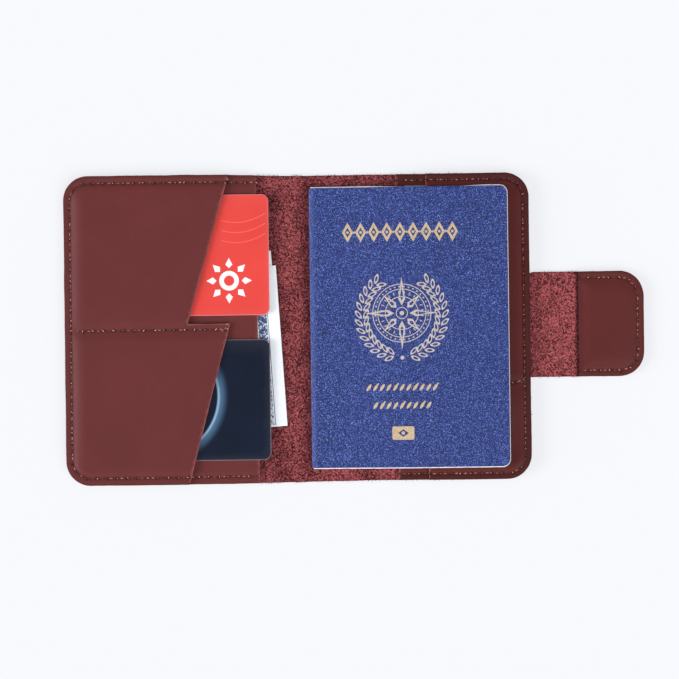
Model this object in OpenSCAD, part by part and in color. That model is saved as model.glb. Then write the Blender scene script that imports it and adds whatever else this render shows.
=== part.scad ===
// Passport holder wallet: one leather cover with a tongue strap, sewn pockets on both
// inner faces, a hidden magnetic closure, and the papers and cards that it carries.
// It lies open and flat on its outer face, inside up. Millimetres, +Z up, +X towards the
// strap. The origin is under the middle of its whole length, on the surface it lies on.

/* [Cover] */
// Width of the open cover, without the strap
cover_w = 208; // [200:1:220]
// Height of the cover
cover_h = 138; // [134:1:146]
// Thickness of the cover leather
cover_t = 1.3; // [1:0.1:1.6]
// Radius of the cover's four outer corners
corner_r = 11; // [6:1:14]
// Width of the spine between its two creases
spine_w = 10.8; // [10.6:0.2:12]

/* [Strap] */
// Length of the strap beyond the cover
strap_l = 51; // [48:1:60]
// Width of the strap
strap_w = 46.4; // [40:0.2:50]
// Length of strap that rises over the closed wallet's edge
strap_rise = 14.7; // [14.6:0.1:16]
// Length of the lining piece sewn over the strap's end
tab_l = 29; // [26:1:32]
// Diameter of the magnet inside the strap's end
magnet_d = 14; // [10:1:18]
// Diameter of the steel keeper disc inside the front cover
keeper_d = 15; // [10:1:18]

/* [Pockets] */
// Thickness of the pocket leather
panel_t = 1; // [0.8:0.1:1.2]
// Width of the joined edge around a pocket
edge_w = 4.5; // [3:0.5:5]
// Depth of the note pocket, from the cover's outer edge
note_pocket_l = 86.2; // [80:0.2:92]
// Depth of the two card pockets at the top of each slanted mouth
mouth_far = 74; // [70:0.5:76]
// Depth of the two card pockets at the bottom of each slanted mouth
mouth_near = 55; // [50:0.5:60]
// Height of the step between the two slanted mouths, above the middle
mouth_step_y = 2.6; // [2:0.1:4]
// Depth of the passport pocket, from the cover's outer edge
passport_pocket_l = 59.3; // [50:0.1:65]
// Depth of the side card pocket, from the cover's outer edge
side_pocket_l = 46; // [40:0.5:50]
// Height of the side pocket's dividing seam, from the middle
side_divider_y = -25.3; // [-30:0.1:-22]

/* [Contents] */
// Gap between the cover's outer edge and the cards pushed home
card_home = 6; // [5:0.1:7]
// Height of the upper card's middle
card_upper_y = 33.2; // [30:0.1:37]
// Height of the lower card's middle
card_lower_y = -31.6; // [-36:0.1:-30]
// Distance from the spine's middle to the passport's spine
passport_x = 6; // [5.8:0.1:7]
// Thickness of the passport's pages
pages_t = 1.8; // [1:0.1:2]
// Tilt of the folded banknote
banknote_tilt = 3.5; // [0:0.5:5]
// Tilt of the paper slip
slip_tilt = 4.5; // [0:0.5:8]

/* [Stitching] */
// Distance from a leather edge to its seam
seam_inset = 2.8; // [2:0.1:3.4]
// Length from one stitch to the next
stitch_pitch = 4.5; // [3:0.1:6]
// Diameter of the thread
thread_d = 0.6; // [0.4:0.05:0.8]

/* [Hidden] */
$fn = 64;

// Colours
grain_colour = [0.43, 0.22, 0.22];
suede_colour = [0.55, 0.27, 0.28];
thread_colour = [0.36, 0.15, 0.15];
steel_colour = [0.72, 0.73, 0.75];
red_colour = [0.96, 0.33, 0.30];
navy_colour = [0.13, 0.15, 0.22];
green_colour = [0.42, 0.60, 0.52];
paper_colour = [0.90, 0.92, 0.94];
passport_colour = [0.22, 0.28, 0.55];

// Layout along X, from the spine's middle
spine_x = -strap_l / 2;          // where the spine's middle is in the part's frame
half_w = cover_w / 2;
half_h = cover_h / 2;
crease_x = spine_w / 2;
crease_gap = 0.1;                // slit that lets a fold turn, in place of bending leather
strap_root = 0.8;                // stub of strap that stays with the back cover
strap_crease = half_w + strap_root;
tab_crease = strap_crease + strap_rise;
strap_tip = half_w + strap_l;
lining_x = strap_tip - tab_l;
magnet_x = strap_tip - tab_l / 2;
// the keeper meets the magnet once the strap is wrapped over the closed front cover
keeper_x = -(strap_crease - (magnet_x - tab_crease));

// Layers along Z, from the surface it lies on
slack = 0.05;                    // room above and below a thing in a pocket
slot_note_t = 0.55;
slot_card_t = 0.9;
slot_passport_t = 0.8;
slot_empty_t = 0.3;
note_panel_z = cover_t + slot_note_t;
card_z = note_panel_z + panel_t + slack;
card_panel_z = note_panel_z + panel_t + slot_card_t;
passport_panel_z = cover_t + slot_passport_t;
side_card_z = passport_panel_z + panel_t + slack;
side_panel_z = passport_panel_z + panel_t + slot_card_t;
side_top_z = side_panel_z + panel_t;

// Cards, to the usual bank card size
card_w = 85.6;
card_h = 54;
card_t = 0.76;
card_r = 3.2;

// Passport booklet, to the usual passport size
book_w = 88;
book_h = 125;
book_r = 3.2;
board_t = 0.6;
book_z = cover_t + 0.1;
pages_z = book_z + board_t + slack;
// the pages climb over both pocket panels on their way to the fore edge
pages_rise = side_top_z + thread_d / 2 + 0.1 - pages_z;
climb_l = half_w - side_pocket_l - passport_x;
book_steps = 22;

// Hidden closure
magnet_t = 1;
keeper_t = 0.5;
lining_rise = magnet_t + 0.1;

// Papers in the note pocket
banknote_size = [66, 72];
banknote_leaf_t = 0.12;
slip_size = [52, 58];
slip_t = 0.1;

// ---------------------------------------------------------------- shared shapes

module in_frame() translate([spine_x, 0, 0]) children();

// A plate from x = 0 to x = l whose two corners at x = l are round.
module end_plate(l, h, r) {
    translate([0, -h / 2]) square([l - r, h]);
    translate([0, r - h / 2]) square([l, h - 2 * r]);
    for (side = [-1, 1]) translate([l - r, side * (h / 2 - r)]) circle(r);
}

// A rectangle about the origin with four round corners.
module round_rect(size, r) {
    square([size[0] - 2 * r, size[1]], center = true);
    square([size[0], size[1] - 2 * r], center = true);
    for (sx = [-1, 1], sy = [-1, 1])
        translate([sx * (size[0] / 2 - r), sy * (size[1] / 2 - r)]) circle(r);
}

// The part of a cover's outline within depth l of its outer edge: side is -1 for the
// front cover and 1 for the back cover.
module cover_end(side, l)
    scale([side, 1]) translate([half_w - l, 0]) end_plate(l, cover_h, corner_r);

module slab(z, t) translate([0, 0, z]) linear_extrude(t) children();

// The room in a pocket between heights y0 and y1, from the joined edge to the open mouth.
module slot(side, l, y0, y1, z, t, edge = edge_w) {
    x0 = side > 0 ? half_w - l - 1 : edge - half_w;
    translate([x0, y0, z - 0.01]) cube([l - edge + 1, y1 - y0, t + 0.01]);
}

module card_blank() round_rect([card_w, card_h], card_r);

// ---------------------------------------------------------------- stitching

// Place and heading at distance s along a seam that runs out along the top edge, round
// two corners and back along the bottom edge. Returns [x, y, heading].
function u_seam(s, side, x_mouth, x_edge, h, r) =
    let(
        run = abs(x_edge - x_mouth) - r,
        arc = PI * r / 2,
        down = 2 * (h - r)
    )
    s < run ? [x_mouth + side * s, h, 0]
    : s < run + arc ? let(a = (s - run) / r * 180 / PI)
        [x_edge - side * r * (1 - sin(a)), h - r * (1 - cos(a)), -side * a]
    : s < run + arc + down ? [x_edge, h - r - (s - run - arc), 90]
    : s < run + 2 * arc + down ? let(a = (s - run - arc - down) / r * 180 / PI)
        [x_edge - side * r * (1 - cos(a)), r - h - r * sin(a), side * (90 - a)]
    : [x_edge - side * (s - arc * 2 - down - run + r), -h, 0];

function u_length(x_mouth, x_edge, h, r) =
    2 * (abs(x_edge - x_mouth) - r) + PI * r + 2 * (h - r);

// One lock stitch from face z_low to face z_top: a dash on each face, joined through the
// leather at one end. The lower dash is sunk in the leather and the upper one half sunk.
module stitch(z_low, z_top) {
    a = stitch_pitch * 0.34;
    z1 = z_low + thread_d * 0.7;
    z2 = z_top - thread_d / 2;
    translate([0, thread_d / 2, 0]) rotate([90, 0, 0]) linear_extrude(thread_d) polygon([
        [-a, z_low], [a, z_low], [a, z1], [thread_d - a, z1],
        [thread_d - a, z2], [a, z2], [a, z_top + thread_d / 2], [-a, z_top + thread_d / 2]
    ]);
}

// Stitches along a U seam. On the outer side of x_step the seam runs on the upper panel at
// z_high, and on its inner side on the lower panel at z_low. x_step gives the place for the
// bottom edge, then the one for the top edge.
module u_stitches(side, x_mouth, x_edge, h, r, x_step, z_high, z_low) {
    count = floor(u_length(x_mouth, x_edge, h, r) / stitch_pitch);
    for (i = [0 : count - 1]) {
        p = u_seam((i + 0.5) * u_length(x_mouth, x_edge, h, r) / count,
                   side, x_mouth, x_edge, h, r);
        step = x_step[p[1] > 0 ? 1 : 0];
        translate([p[0], p[1], 0]) rotate(p[2])
            stitch(0, side * (p[0] - step) > 0 ? z_high : z_low);
    }
}

// Stitches in a straight line along X, between the underside of one panel and the top of
// another.
module row_of_stitches(x0, x1, y, z_low, z_top) {
    count = floor((x1 - x0) / stitch_pitch);
    for (i = [0 : count - 1])
        translate([x0 + (i + 0.5) * (x1 - x0) / count, y, 0]) stitch(z_low, z_top);
}

// ---------------------------------------------------------------- leather cover

// The front cover is skived from the inside to take the steel disc.
module cover_front() in_frame() color(suede_colour) difference() {
    slab(0, cover_t) cover_end(-1, half_w - crease_x - crease_gap / 2);
    translate([keeper_x, 0, cover_t - keeper_t - slack])
        cylinder(d = keeper_d + 2 * slack, h = keeper_t + 1);
}

module cover_spine() in_frame() color(suede_colour)
    slab(0, cover_t) square([spine_w - crease_gap, cover_h], center = true);

// The back cover, with the root of the strap that is cut from the same leather.
module cover_back() in_frame() color(suede_colour)
    slab(0, cover_t) {
        cover_end(1, half_w - crease_x - crease_gap / 2);
        translate([half_w - corner_r, -strap_w / 2])
            square([corner_r + strap_root - crease_gap / 2, strap_w]);
    }

module strap_riser() in_frame() color(suede_colour)
    slab(0, cover_t) translate([strap_crease + crease_gap / 2, -strap_w / 2])
        square([strap_rise - crease_gap, strap_w]);

module strap_end() in_frame() color(suede_colour)
    slab(0, cover_t) translate([tab_crease + crease_gap / 2, 0])
        end_plate(strap_tip - tab_crease - crease_gap / 2, strap_w, corner_r);

// ---------------------------------------------------------------- magnetic closure

module tab_lining() in_frame() color(grain_colour) difference() {
    slab(cover_t, lining_rise + panel_t)
        translate([lining_x, 0]) end_plate(tab_l, strap_w, corner_r);
    translate([lining_x - 1, edge_w - strap_w / 2, cover_t - 0.01])
        cube([tab_l - edge_w + 1, strap_w - 2 * edge_w, lining_rise + 0.01]);
}

module tab_magnet() in_frame() color(steel_colour)
    translate([magnet_x, 0, cover_t + slack]) cylinder(d = magnet_d, h = magnet_t);

module keeper_disc() in_frame() color(steel_colour)
    translate([keeper_x, 0, cover_t - keeper_t - slack]) cylinder(d = keeper_d, h = keeper_t);

// ---------------------------------------------------------------- pockets

module note_pocket() in_frame() color(grain_colour) difference() {
    slab(cover_t, slot_note_t + panel_t) cover_end(-1, note_pocket_l);
    slot(-1, note_pocket_l, edge_w - half_h, half_h - edge_w, cover_t, slot_note_t);
}

// Zigzag edge of the front card pocket: two slanted mouths with a step between them.
module card_mouth_outline()
    translate([-half_w, 0]) polygon([
        [0, half_h], [mouth_far, half_h], [mouth_near, mouth_step_y],
        [mouth_far, mouth_step_y], [mouth_near, -half_h], [0, -half_h]
    ]);

module card_pocket() in_frame() color(grain_colour) difference() {
    slab(card_panel_z - slot_card_t, slot_card_t + panel_t) intersection() {
        cover_end(-1, mouth_far);
        card_mouth_outline();
    }
    for (span = [[mouth_step_y, half_h - edge_w], [edge_w - half_h, -2]])
        slot(-1, mouth_far, span[0], span[1], card_panel_z - slot_card_t, slot_card_t);
}

module passport_pocket() in_frame() color(grain_colour) difference() {
    slab(cover_t, slot_passport_t + panel_t) cover_end(1, passport_pocket_l);
    slot(1, passport_pocket_l, edge_w - half_h, half_h - edge_w, cover_t, slot_passport_t);
}

// The side pocket holds a card upright above its dividing seam and is empty below it.
module side_pocket() in_frame() color(grain_colour) difference() {
    z0 = side_panel_z - slot_card_t;
    slab(z0, slot_card_t + panel_t) cover_end(1, side_pocket_l);
    slot(1, side_pocket_l, side_divider_y + 2, half_h - edge_w, z0, slot_card_t,
         seam_inset + thread_d / 2);
    slot(1, side_pocket_l, edge_w - half_h, side_divider_y - 2, z0, slot_empty_t);
}

// ---------------------------------------------------------------- seams

module seam_front() in_frame() color(thread_colour)
    u_stitches(-1, note_pocket_l - half_w, seam_inset - half_w, half_h - seam_inset,
               corner_r - seam_inset, [mouth_near - half_w, mouth_far - half_w - 1.5],
               card_panel_z + panel_t, note_panel_z + panel_t);

module seam_front_divider() in_frame() color(thread_colour)
    row_of_stitches(seam_inset + 1 - half_w, mouth_far - half_w - 2, 0,
                    note_panel_z, card_panel_z + panel_t);

module seam_back() in_frame() color(thread_colour)
    u_stitches(1, half_w - passport_pocket_l, half_w - seam_inset, half_h - seam_inset,
               corner_r - seam_inset, [1, 1] * (half_w - side_pocket_l + 1.5),
               side_top_z, passport_panel_z + panel_t);

module seam_back_divider() in_frame() color(thread_colour)
    row_of_stitches(half_w - side_pocket_l + 1, half_w - seam_inset - 1, side_divider_y,
                    passport_panel_z, side_top_z);

module seam_tab() in_frame() color(thread_colour)
    u_stitches(1, lining_x, strap_tip - seam_inset, strap_w / 2 - seam_inset,
               corner_r - seam_inset, [lining_x, lining_x],
               cover_t + lining_rise + panel_t, cover_t + lining_rise + panel_t);

// ---------------------------------------------------------------- cards and papers

module front_card(y)
    slab(card_z, card_t) translate([card_home + card_w / 2 - half_w, y]) card_blank();

module card_upper() in_frame() color(red_colour) front_card(card_upper_y);

module card_lower() in_frame() color(navy_colour) front_card(card_lower_y);

// The side pocket's card stands upright, its upper edge just above the passport's.
module card_side() in_frame() color(green_colour)
    slab(side_card_z, card_t)
        translate([half_w - seam_inset - 1 - card_h / 2, book_h / 2 + 0.6 - card_w / 2])
            rotate(90) card_blank();

// A sheet in the note pocket whose lower right corner is at the given place.
module note_sheet(corner, size, tilt, z, t)
    slab(z, t) translate(corner) rotate(tilt) translate([-size[0], 0]) square(size);

// The banknote is folded once: two leaves, joined along the lower edge.
module banknote() in_frame() color(paper_colour) {
    corner = [-crease_x - 0.8, -43.5];
    z = cover_t + slot_note_t - slack - 2.5 * banknote_leaf_t;
    difference() {
        note_sheet(corner, banknote_size, banknote_tilt, z, 2.5 * banknote_leaf_t);
        translate([0, 0, z + banknote_leaf_t]) linear_extrude(banknote_leaf_t / 2)
            translate(corner) rotate(banknote_tilt)
                translate([-banknote_size[0] - 1, 0.5]) square(banknote_size + [2, 1]);
    }
}

module paper_slip() in_frame() color(paper_colour)
    note_sheet([-crease_x - 1.8, -22], slip_size, slip_tilt, cover_t + slack, slip_t);

// ---------------------------------------------------------------- passport

// Height gained by the pages at distance u from the spine.
function climb(u) =
    let(k = min(1, u / climb_l)) pages_rise * k * k * (3 - 2 * k);

// A curved layer of the booklet: from the spine to distance l, lifted by climb().
module book_layer(u0, l, z, t, h) {
    lower = [for (i = [0 : book_steps]) let(u = u0 + (l - u0) * i / book_steps) [u, z + climb(u)]];
    upper = [for (i = [book_steps : -1 : 0]) let(u = u0 + (l - u0) * i / book_steps) [u, z + climb(u) + t]];
    intersection() {
        translate([passport_x, h / 2, 0]) rotate([90, 0, 0])
            linear_extrude(h) polygon(concat(lower, upper));
        translate([passport_x, 0, 0]) linear_extrude(20) end_plate(l, h, book_r);
    }
}

// The back board lies in the passport pocket; the spine cloth turns up beside the pages.
module passport_cover_back() in_frame() color(passport_colour) {
    slab(book_z, board_t) translate([passport_x, 0]) end_plate(book_w, book_h, book_r);
    translate([passport_x, -book_h / 2, book_z])
        cube([0.5, book_h, pages_z + pages_t + 0.02 - book_z]);
}

module passport_pages() in_frame() color(paper_colour)
    book_layer(0.6, book_w - 0.4, pages_z, pages_t, book_h - 0.6);

module passport_cover_front() in_frame() color(passport_colour)
    book_layer(0, book_w, pages_z + pages_t + slack, board_t, book_h);

cover_front();
cover_spine();
cover_back();
note_pocket();
card_pocket();
passport_pocket();
side_pocket();
strap_riser();
strap_end();
tab_lining();
tab_magnet();
keeper_disc();
seam_front();
seam_front_divider();
seam_back();
seam_back_divider();
seam_tab();
card_upper();
card_lower();
card_side();
banknote();
paper_slip();
passport_cover_back();
passport_pages();
passport_cover_front();
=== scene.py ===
"""Passport holder wallet, lying open: the look of every piece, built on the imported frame.

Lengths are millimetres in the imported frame, which make_object() scales to metres. The floor,
the lights and the camera are in metres.
Each piece carries its rest coordinates in an attribute, so that its pattern stays with it
when it bends or moves.
"""

import math

import bpy
import numpy as np
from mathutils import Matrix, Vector
from mathutils.geometry import delaunay_2d_cdt
from mathutils.kdtree import KDTree


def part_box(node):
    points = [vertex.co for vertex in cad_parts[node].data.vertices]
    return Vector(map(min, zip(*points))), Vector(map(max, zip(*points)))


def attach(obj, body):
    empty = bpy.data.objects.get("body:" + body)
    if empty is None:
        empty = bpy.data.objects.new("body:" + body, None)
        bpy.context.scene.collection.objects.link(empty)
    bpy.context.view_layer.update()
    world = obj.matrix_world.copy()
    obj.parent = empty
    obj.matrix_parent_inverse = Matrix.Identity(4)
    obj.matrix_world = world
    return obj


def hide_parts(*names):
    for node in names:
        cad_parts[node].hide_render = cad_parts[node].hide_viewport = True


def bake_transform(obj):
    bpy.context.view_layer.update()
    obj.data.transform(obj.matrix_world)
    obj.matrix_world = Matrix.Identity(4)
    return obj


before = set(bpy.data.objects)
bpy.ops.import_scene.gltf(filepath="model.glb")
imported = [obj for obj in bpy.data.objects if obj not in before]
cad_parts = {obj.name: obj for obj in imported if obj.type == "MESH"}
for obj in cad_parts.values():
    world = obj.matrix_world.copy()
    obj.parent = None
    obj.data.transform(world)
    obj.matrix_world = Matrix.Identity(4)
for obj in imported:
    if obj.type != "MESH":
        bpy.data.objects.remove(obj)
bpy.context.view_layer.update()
MM = 0.001
FAR = 1e3                       # further than anything here


def cad_box(node):
    low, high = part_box(node)
    return np.array(low) / MM, np.array(high) / MM


# ---- layout, from the CAD

COVER_LOW, COVER_HIGH = cad_box("cover_front")
LEFT = COVER_LOW[0]
HALF_H = COVER_HIGH[1]
COVER_T = COVER_HIGH[2]
RIGHT = cad_box("side_pocket")[1][0]
STRAP_LOW, STRAP_HIGH = cad_box("strap_end")
TIP = STRAP_HIGH[0]
STRAP_HALF = STRAP_HIGH[1]
CREASE_FRONT = cad_box("cover_spine")[0][0]
CREASE_BACK = cad_box("cover_spine")[1][0]
SPINE_MID = (CREASE_FRONT + CREASE_BACK) / 2
STRAP_CREASE = cad_box("strap_riser")[0][0]
TAB_CREASE = STRAP_LOW[0]
RISER_MID = (STRAP_CREASE + TAB_CREASE) / 2
NOTE_MOUTH = cad_box("note_pocket")[1][0]
CARD_FAR = cad_box("card_pocket")[1][0]
PASSPORT_MOUTH = cad_box("passport_pocket")[0][0]
SIDE_MOUTH = cad_box("side_pocket")[0][0]
LINING_LEFT = cad_box("tab_lining")[0][0]
BOOK_LOW, BOOK_HIGH = cad_box("passport_cover_back")

CORNER_R = 11.0
CARD_NEAR = CARD_FAR - 19.0     # the slanted mouths' lower ends
MOUTH_STEP = 2.6                # height of the step between the two mouths
SIDE_DIVIDER = -25.3            # height of the side pocket's dividing seam
SEAM_INSET = 2.8
PITCH = 4.5
RIM_T = 1.45                    # leather at the sewn edge
SKIN_T = 1.0                    # leather stretched over a pocket's contents
NOTE_GAP, PASSPORT_GAP, CARD_GAP = 0.55, 0.8, 0.9
NOTE_TOP = COVER_T + NOTE_GAP + SKIN_T
PASSPORT_TOP = COVER_T + PASSPORT_GAP + SKIN_T
BOOK_CLIMB_L = SIDE_MOUTH - BOOK_LOW[0]
PAGES_LOW, PAGES_HIGH = cad_box("passport_pages")
FRONT_LOW, FRONT_HIGH = cad_box("passport_cover_front")
BOARD_T = 0.6
BOOK_CLIMB = FRONT_HIGH[2] - FRONT_LOW[2] - BOARD_T


# ---- small maths

def smooth(t):
    t = np.clip(t, 0.0, 1.0)
    return t * t * (3 - 2 * t)


def rise(value, low, high):
    return smooth((value - low) / (high - low))


def between(value, on, full, fade, off):
    """1 from full to fade, 0 before on and after off."""
    return rise(value, on, full) * (1 - rise(value, fade, off))


def blob_noise(x, y, cell, seed):
    """Smooth noise from -1 to 1 whose features are about cell wide."""
    table = np.random.default_rng(seed).random((128, 128)) * 2 - 1
    u, v = x / cell + 400.37, y / cell + 400.71
    i, j = np.floor(u).astype(int), np.floor(v).astype(int)
    f, g = smooth(u - i), smooth(v - j)
    i0, i1, j0, j1 = i % 128, (i + 1) % 128, j % 128, (j + 1) % 128
    low = table[i0, j0] * (1 - f) + table[i1, j0] * f
    high = table[i0, j1] * (1 - f) + table[i1, j1] * f
    return low * (1 - g) + high * g


def nearest(points, targets):
    """Index of the nearest target for each point."""
    tree = KDTree(len(targets))
    for i, (x, y) in enumerate(targets):
        tree.insert((x, y, 0), i)
    tree.balance()
    return np.array([tree.find((x, y, 0))[1] for x, y in points], int)


def near_points(points, targets):
    """Distance from each point to the nearest target."""
    if not len(targets) or not len(points):
        return np.full(len(points), FAR)
    return np.linalg.norm(points - targets[nearest(points, targets)], axis=1)


def stepped(starts, ends, step):
    """Points along the lines from each start to its end, at most a step apart."""
    out = []
    for a, b in zip(starts, ends):
        n = max(1, int(math.ceil(math.dist(a, b) / step)))
        out += [(a[0] + (b[0] - a[0]) * i / n, a[1] + (b[1] - a[1]) * i / n) for i in range(n)]
    return out


def near_path(points, path, closed=False):
    """Distance from each point to a polyline."""
    corners = list(map(tuple, path))
    ends = corners[1:] + corners[:1] if closed else corners[1:]
    a = np.array(stepped(corners, ends, 1.0) + [ends[-1]])
    if not len(points):
        return np.zeros(0)
    at = nearest(points, a)
    out = np.full(len(points), FAR)
    for start in (np.maximum(at - 1, 0), np.minimum(at, len(a) - 2)):
        d = a[start + 1] - a[start]
        t = np.clip(((points - a[start]) * d).sum(1) / np.maximum((d ** 2).sum(1), 1e-12), 0, 1)
        out = np.minimum(out, np.linalg.norm(points - a[start] - t[:, None] * d, axis=1))
    if closed:
        out = np.minimum(out, np.linalg.norm(points - a[0], axis=1))
    return out


def near_paths(points, paths):
    """Distance from each point to the nearest of several polylines."""
    gaps = [np.full(len(points), FAR)] + [near_path(points, path) for path in paths]
    return np.minimum.reduce(gaps)


def open_edges(tris):
    """Edges with one triangle, in that triangle's direction."""
    edges = np.concatenate([tris[:, [0, 1]], tris[:, [1, 2]], tris[:, [2, 0]]])
    _, first, count = np.unique(np.sort(edges, axis=1), axis=0,
                                return_index=True, return_counts=True)
    return edges[np.sort(first[count == 1])]


def is_inside(points, outline):
    x, y = points[:, 0], points[:, 1]
    inside = np.zeros(len(points), bool)
    for (x0, y0), (x1, y1) in zip(outline, np.roll(outline, -1, 0)):
        if y0 != y1:
            crosses = (y0 > y) != (y1 > y)
            inside ^= crosses & (x < (x1 - x0) * (y - y0) / (y1 - y0) + x0)
    return inside


def arc(cx, cy, r, a0, a1, step=0.9):
    n = max(4, int(abs(math.radians(a1 - a0)) * r / step))
    turn = np.radians(np.linspace(a0, a1, n + 1))
    return list(zip(cx + r * np.cos(turn), cy + r * np.sin(turn)))


def divided(points, step):
    """The closed outline with its long sides cut into short ones."""
    return np.array(stepped(points, points[1:] + points[:1], step))


def unit(vectors):
    return vectors / np.maximum(np.linalg.norm(vectors, axis=1, keepdims=True), 1e-9)


def left_of(vectors):
    """Plan vectors turned a quarter turn anticlockwise."""
    return np.stack([-vectors[:, 1], vectors[:, 0]], 1)


def inset(outline, by):
    """The outline moved inwards along its corners' bisectors."""
    back = left_of(unit(outline - np.roll(outline, 1, 0)))
    ahead = left_of(unit(np.roll(outline, -1, 0) - outline))
    mid = unit(back + ahead)
    cosine = np.clip((mid * back).sum(1, keepdims=True), 0.45, 1)
    return outline + mid / cosine * by


def loop_edges(loops):
    """The edges that close each loop, with vertices counted on through all the loops."""
    edges, base = [], 0
    for loop in loops:
        n = len(loop)
        edges += [(base + i, base + (i + 1) % n) for i in range(n)]
        base += n
    return edges


def triangulated(points, edges, tolerance):
    """Anticlockwise triangles that keep the edges, with the signed areas they were found with."""
    result = delaunay_2d_cdt([Vector(p) for p in points], edges, [], 1, tolerance, True)
    plan, tris = np.array([list(p) for p in result[0]]), np.array(result[2], int)
    area = np.cross(plan[tris[:, 1]] - plan[tris[:, 0]], plan[tris[:, 2]] - plan[tris[:, 0]])
    tris[area < 0] = tris[area < 0][:, ::-1]
    return plan, tris, area


def hex_grid(low, high, step):
    """Points in rows, staggered so that they form even triangles."""
    rows = []
    for k, y in enumerate(np.arange(low[1], high[1], step * 0.866)):
        x = np.arange(low[0] + (k % 2) * step / 2, high[0], step)
        rows.append(np.stack([x, np.full(len(x), y)], 1))
    return np.concatenate(rows)


def hand_cut(verts):
    """The leather as it was cut by hand: the left half a little taller than the right one."""
    x, y = verts[:, 0], verts[:, 1]
    trim = 0.22 - 0.77 * rise(x, -75, 25)
    trim -= np.where(y > 0, 0.45, 0.0) * np.exp(-((x - SPINE_MID) / 22) ** 2)
    strap = 0.75 * rise(x, RIGHT - 1, RIGHT + 2) * rise(y, 6, 21)
    moved = verts.copy()
    moved[:, 1] = y + np.sign(y) * rise(np.abs(y), 28, 60) * trim + strap
    return moved


# ---- mesh building

def make_object(name, verts, faces, materials, face_material=None, attributes=None,
                smooth_faces=True):
    """A mesh object from millimetre vertices, with its rest coordinates as an attribute."""
    verts = np.asarray(verts, float)
    mesh = bpy.data.meshes.new(name)
    mesh.from_pydata((verts * MM).tolist(), [], [list(map(int, f)) for f in faces])
    rest = mesh.attributes.new("rest", "FLOAT_VECTOR", "POINT")
    rest.data.foreach_set("vector", verts.astype(np.float32).ravel())
    for key, values in (attributes or {}).items():
        layer = mesh.attributes.new(key, "FLOAT", "POINT")
        layer.data.foreach_set("value", np.asarray(values, np.float32))
    for m in materials:
        mesh.materials.append(m)
    if face_material is not None:
        mesh.polygons.foreach_set("material_index", np.asarray(face_material, np.int32))
    mesh.polygons.foreach_set("use_smooth", np.full(len(mesh.polygons), smooth_faces))
    mesh.update()
    obj = bpy.data.objects.new(name, mesh)
    bpy.context.scene.collection.objects.link(obj)
    return obj


SEAM_FINE, SEAM_NEAR = 1.2, 5   # distance from a seam for fine and for middling triangles
EDGE_NEAR = 4                   # distance from the cut edge for middling triangles
CUT_CLEAR = 0.55                # room kept free of grid points beside a cut line
HOLE_RINGS = (0.22, 0.48)       # rings of points round a needle hole
HOLE_CLEAR = 0.66               # room kept free of grid points round a needle hole
HOLE_SHADE_WIDTH = 0.60               # width of the painted shade round a needle hole
BEVEL_REACH = 0.28              # width of the rounded shoulder at a cut edge
WALL_SEED = 3                   # of the small waver in a cut edge


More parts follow.
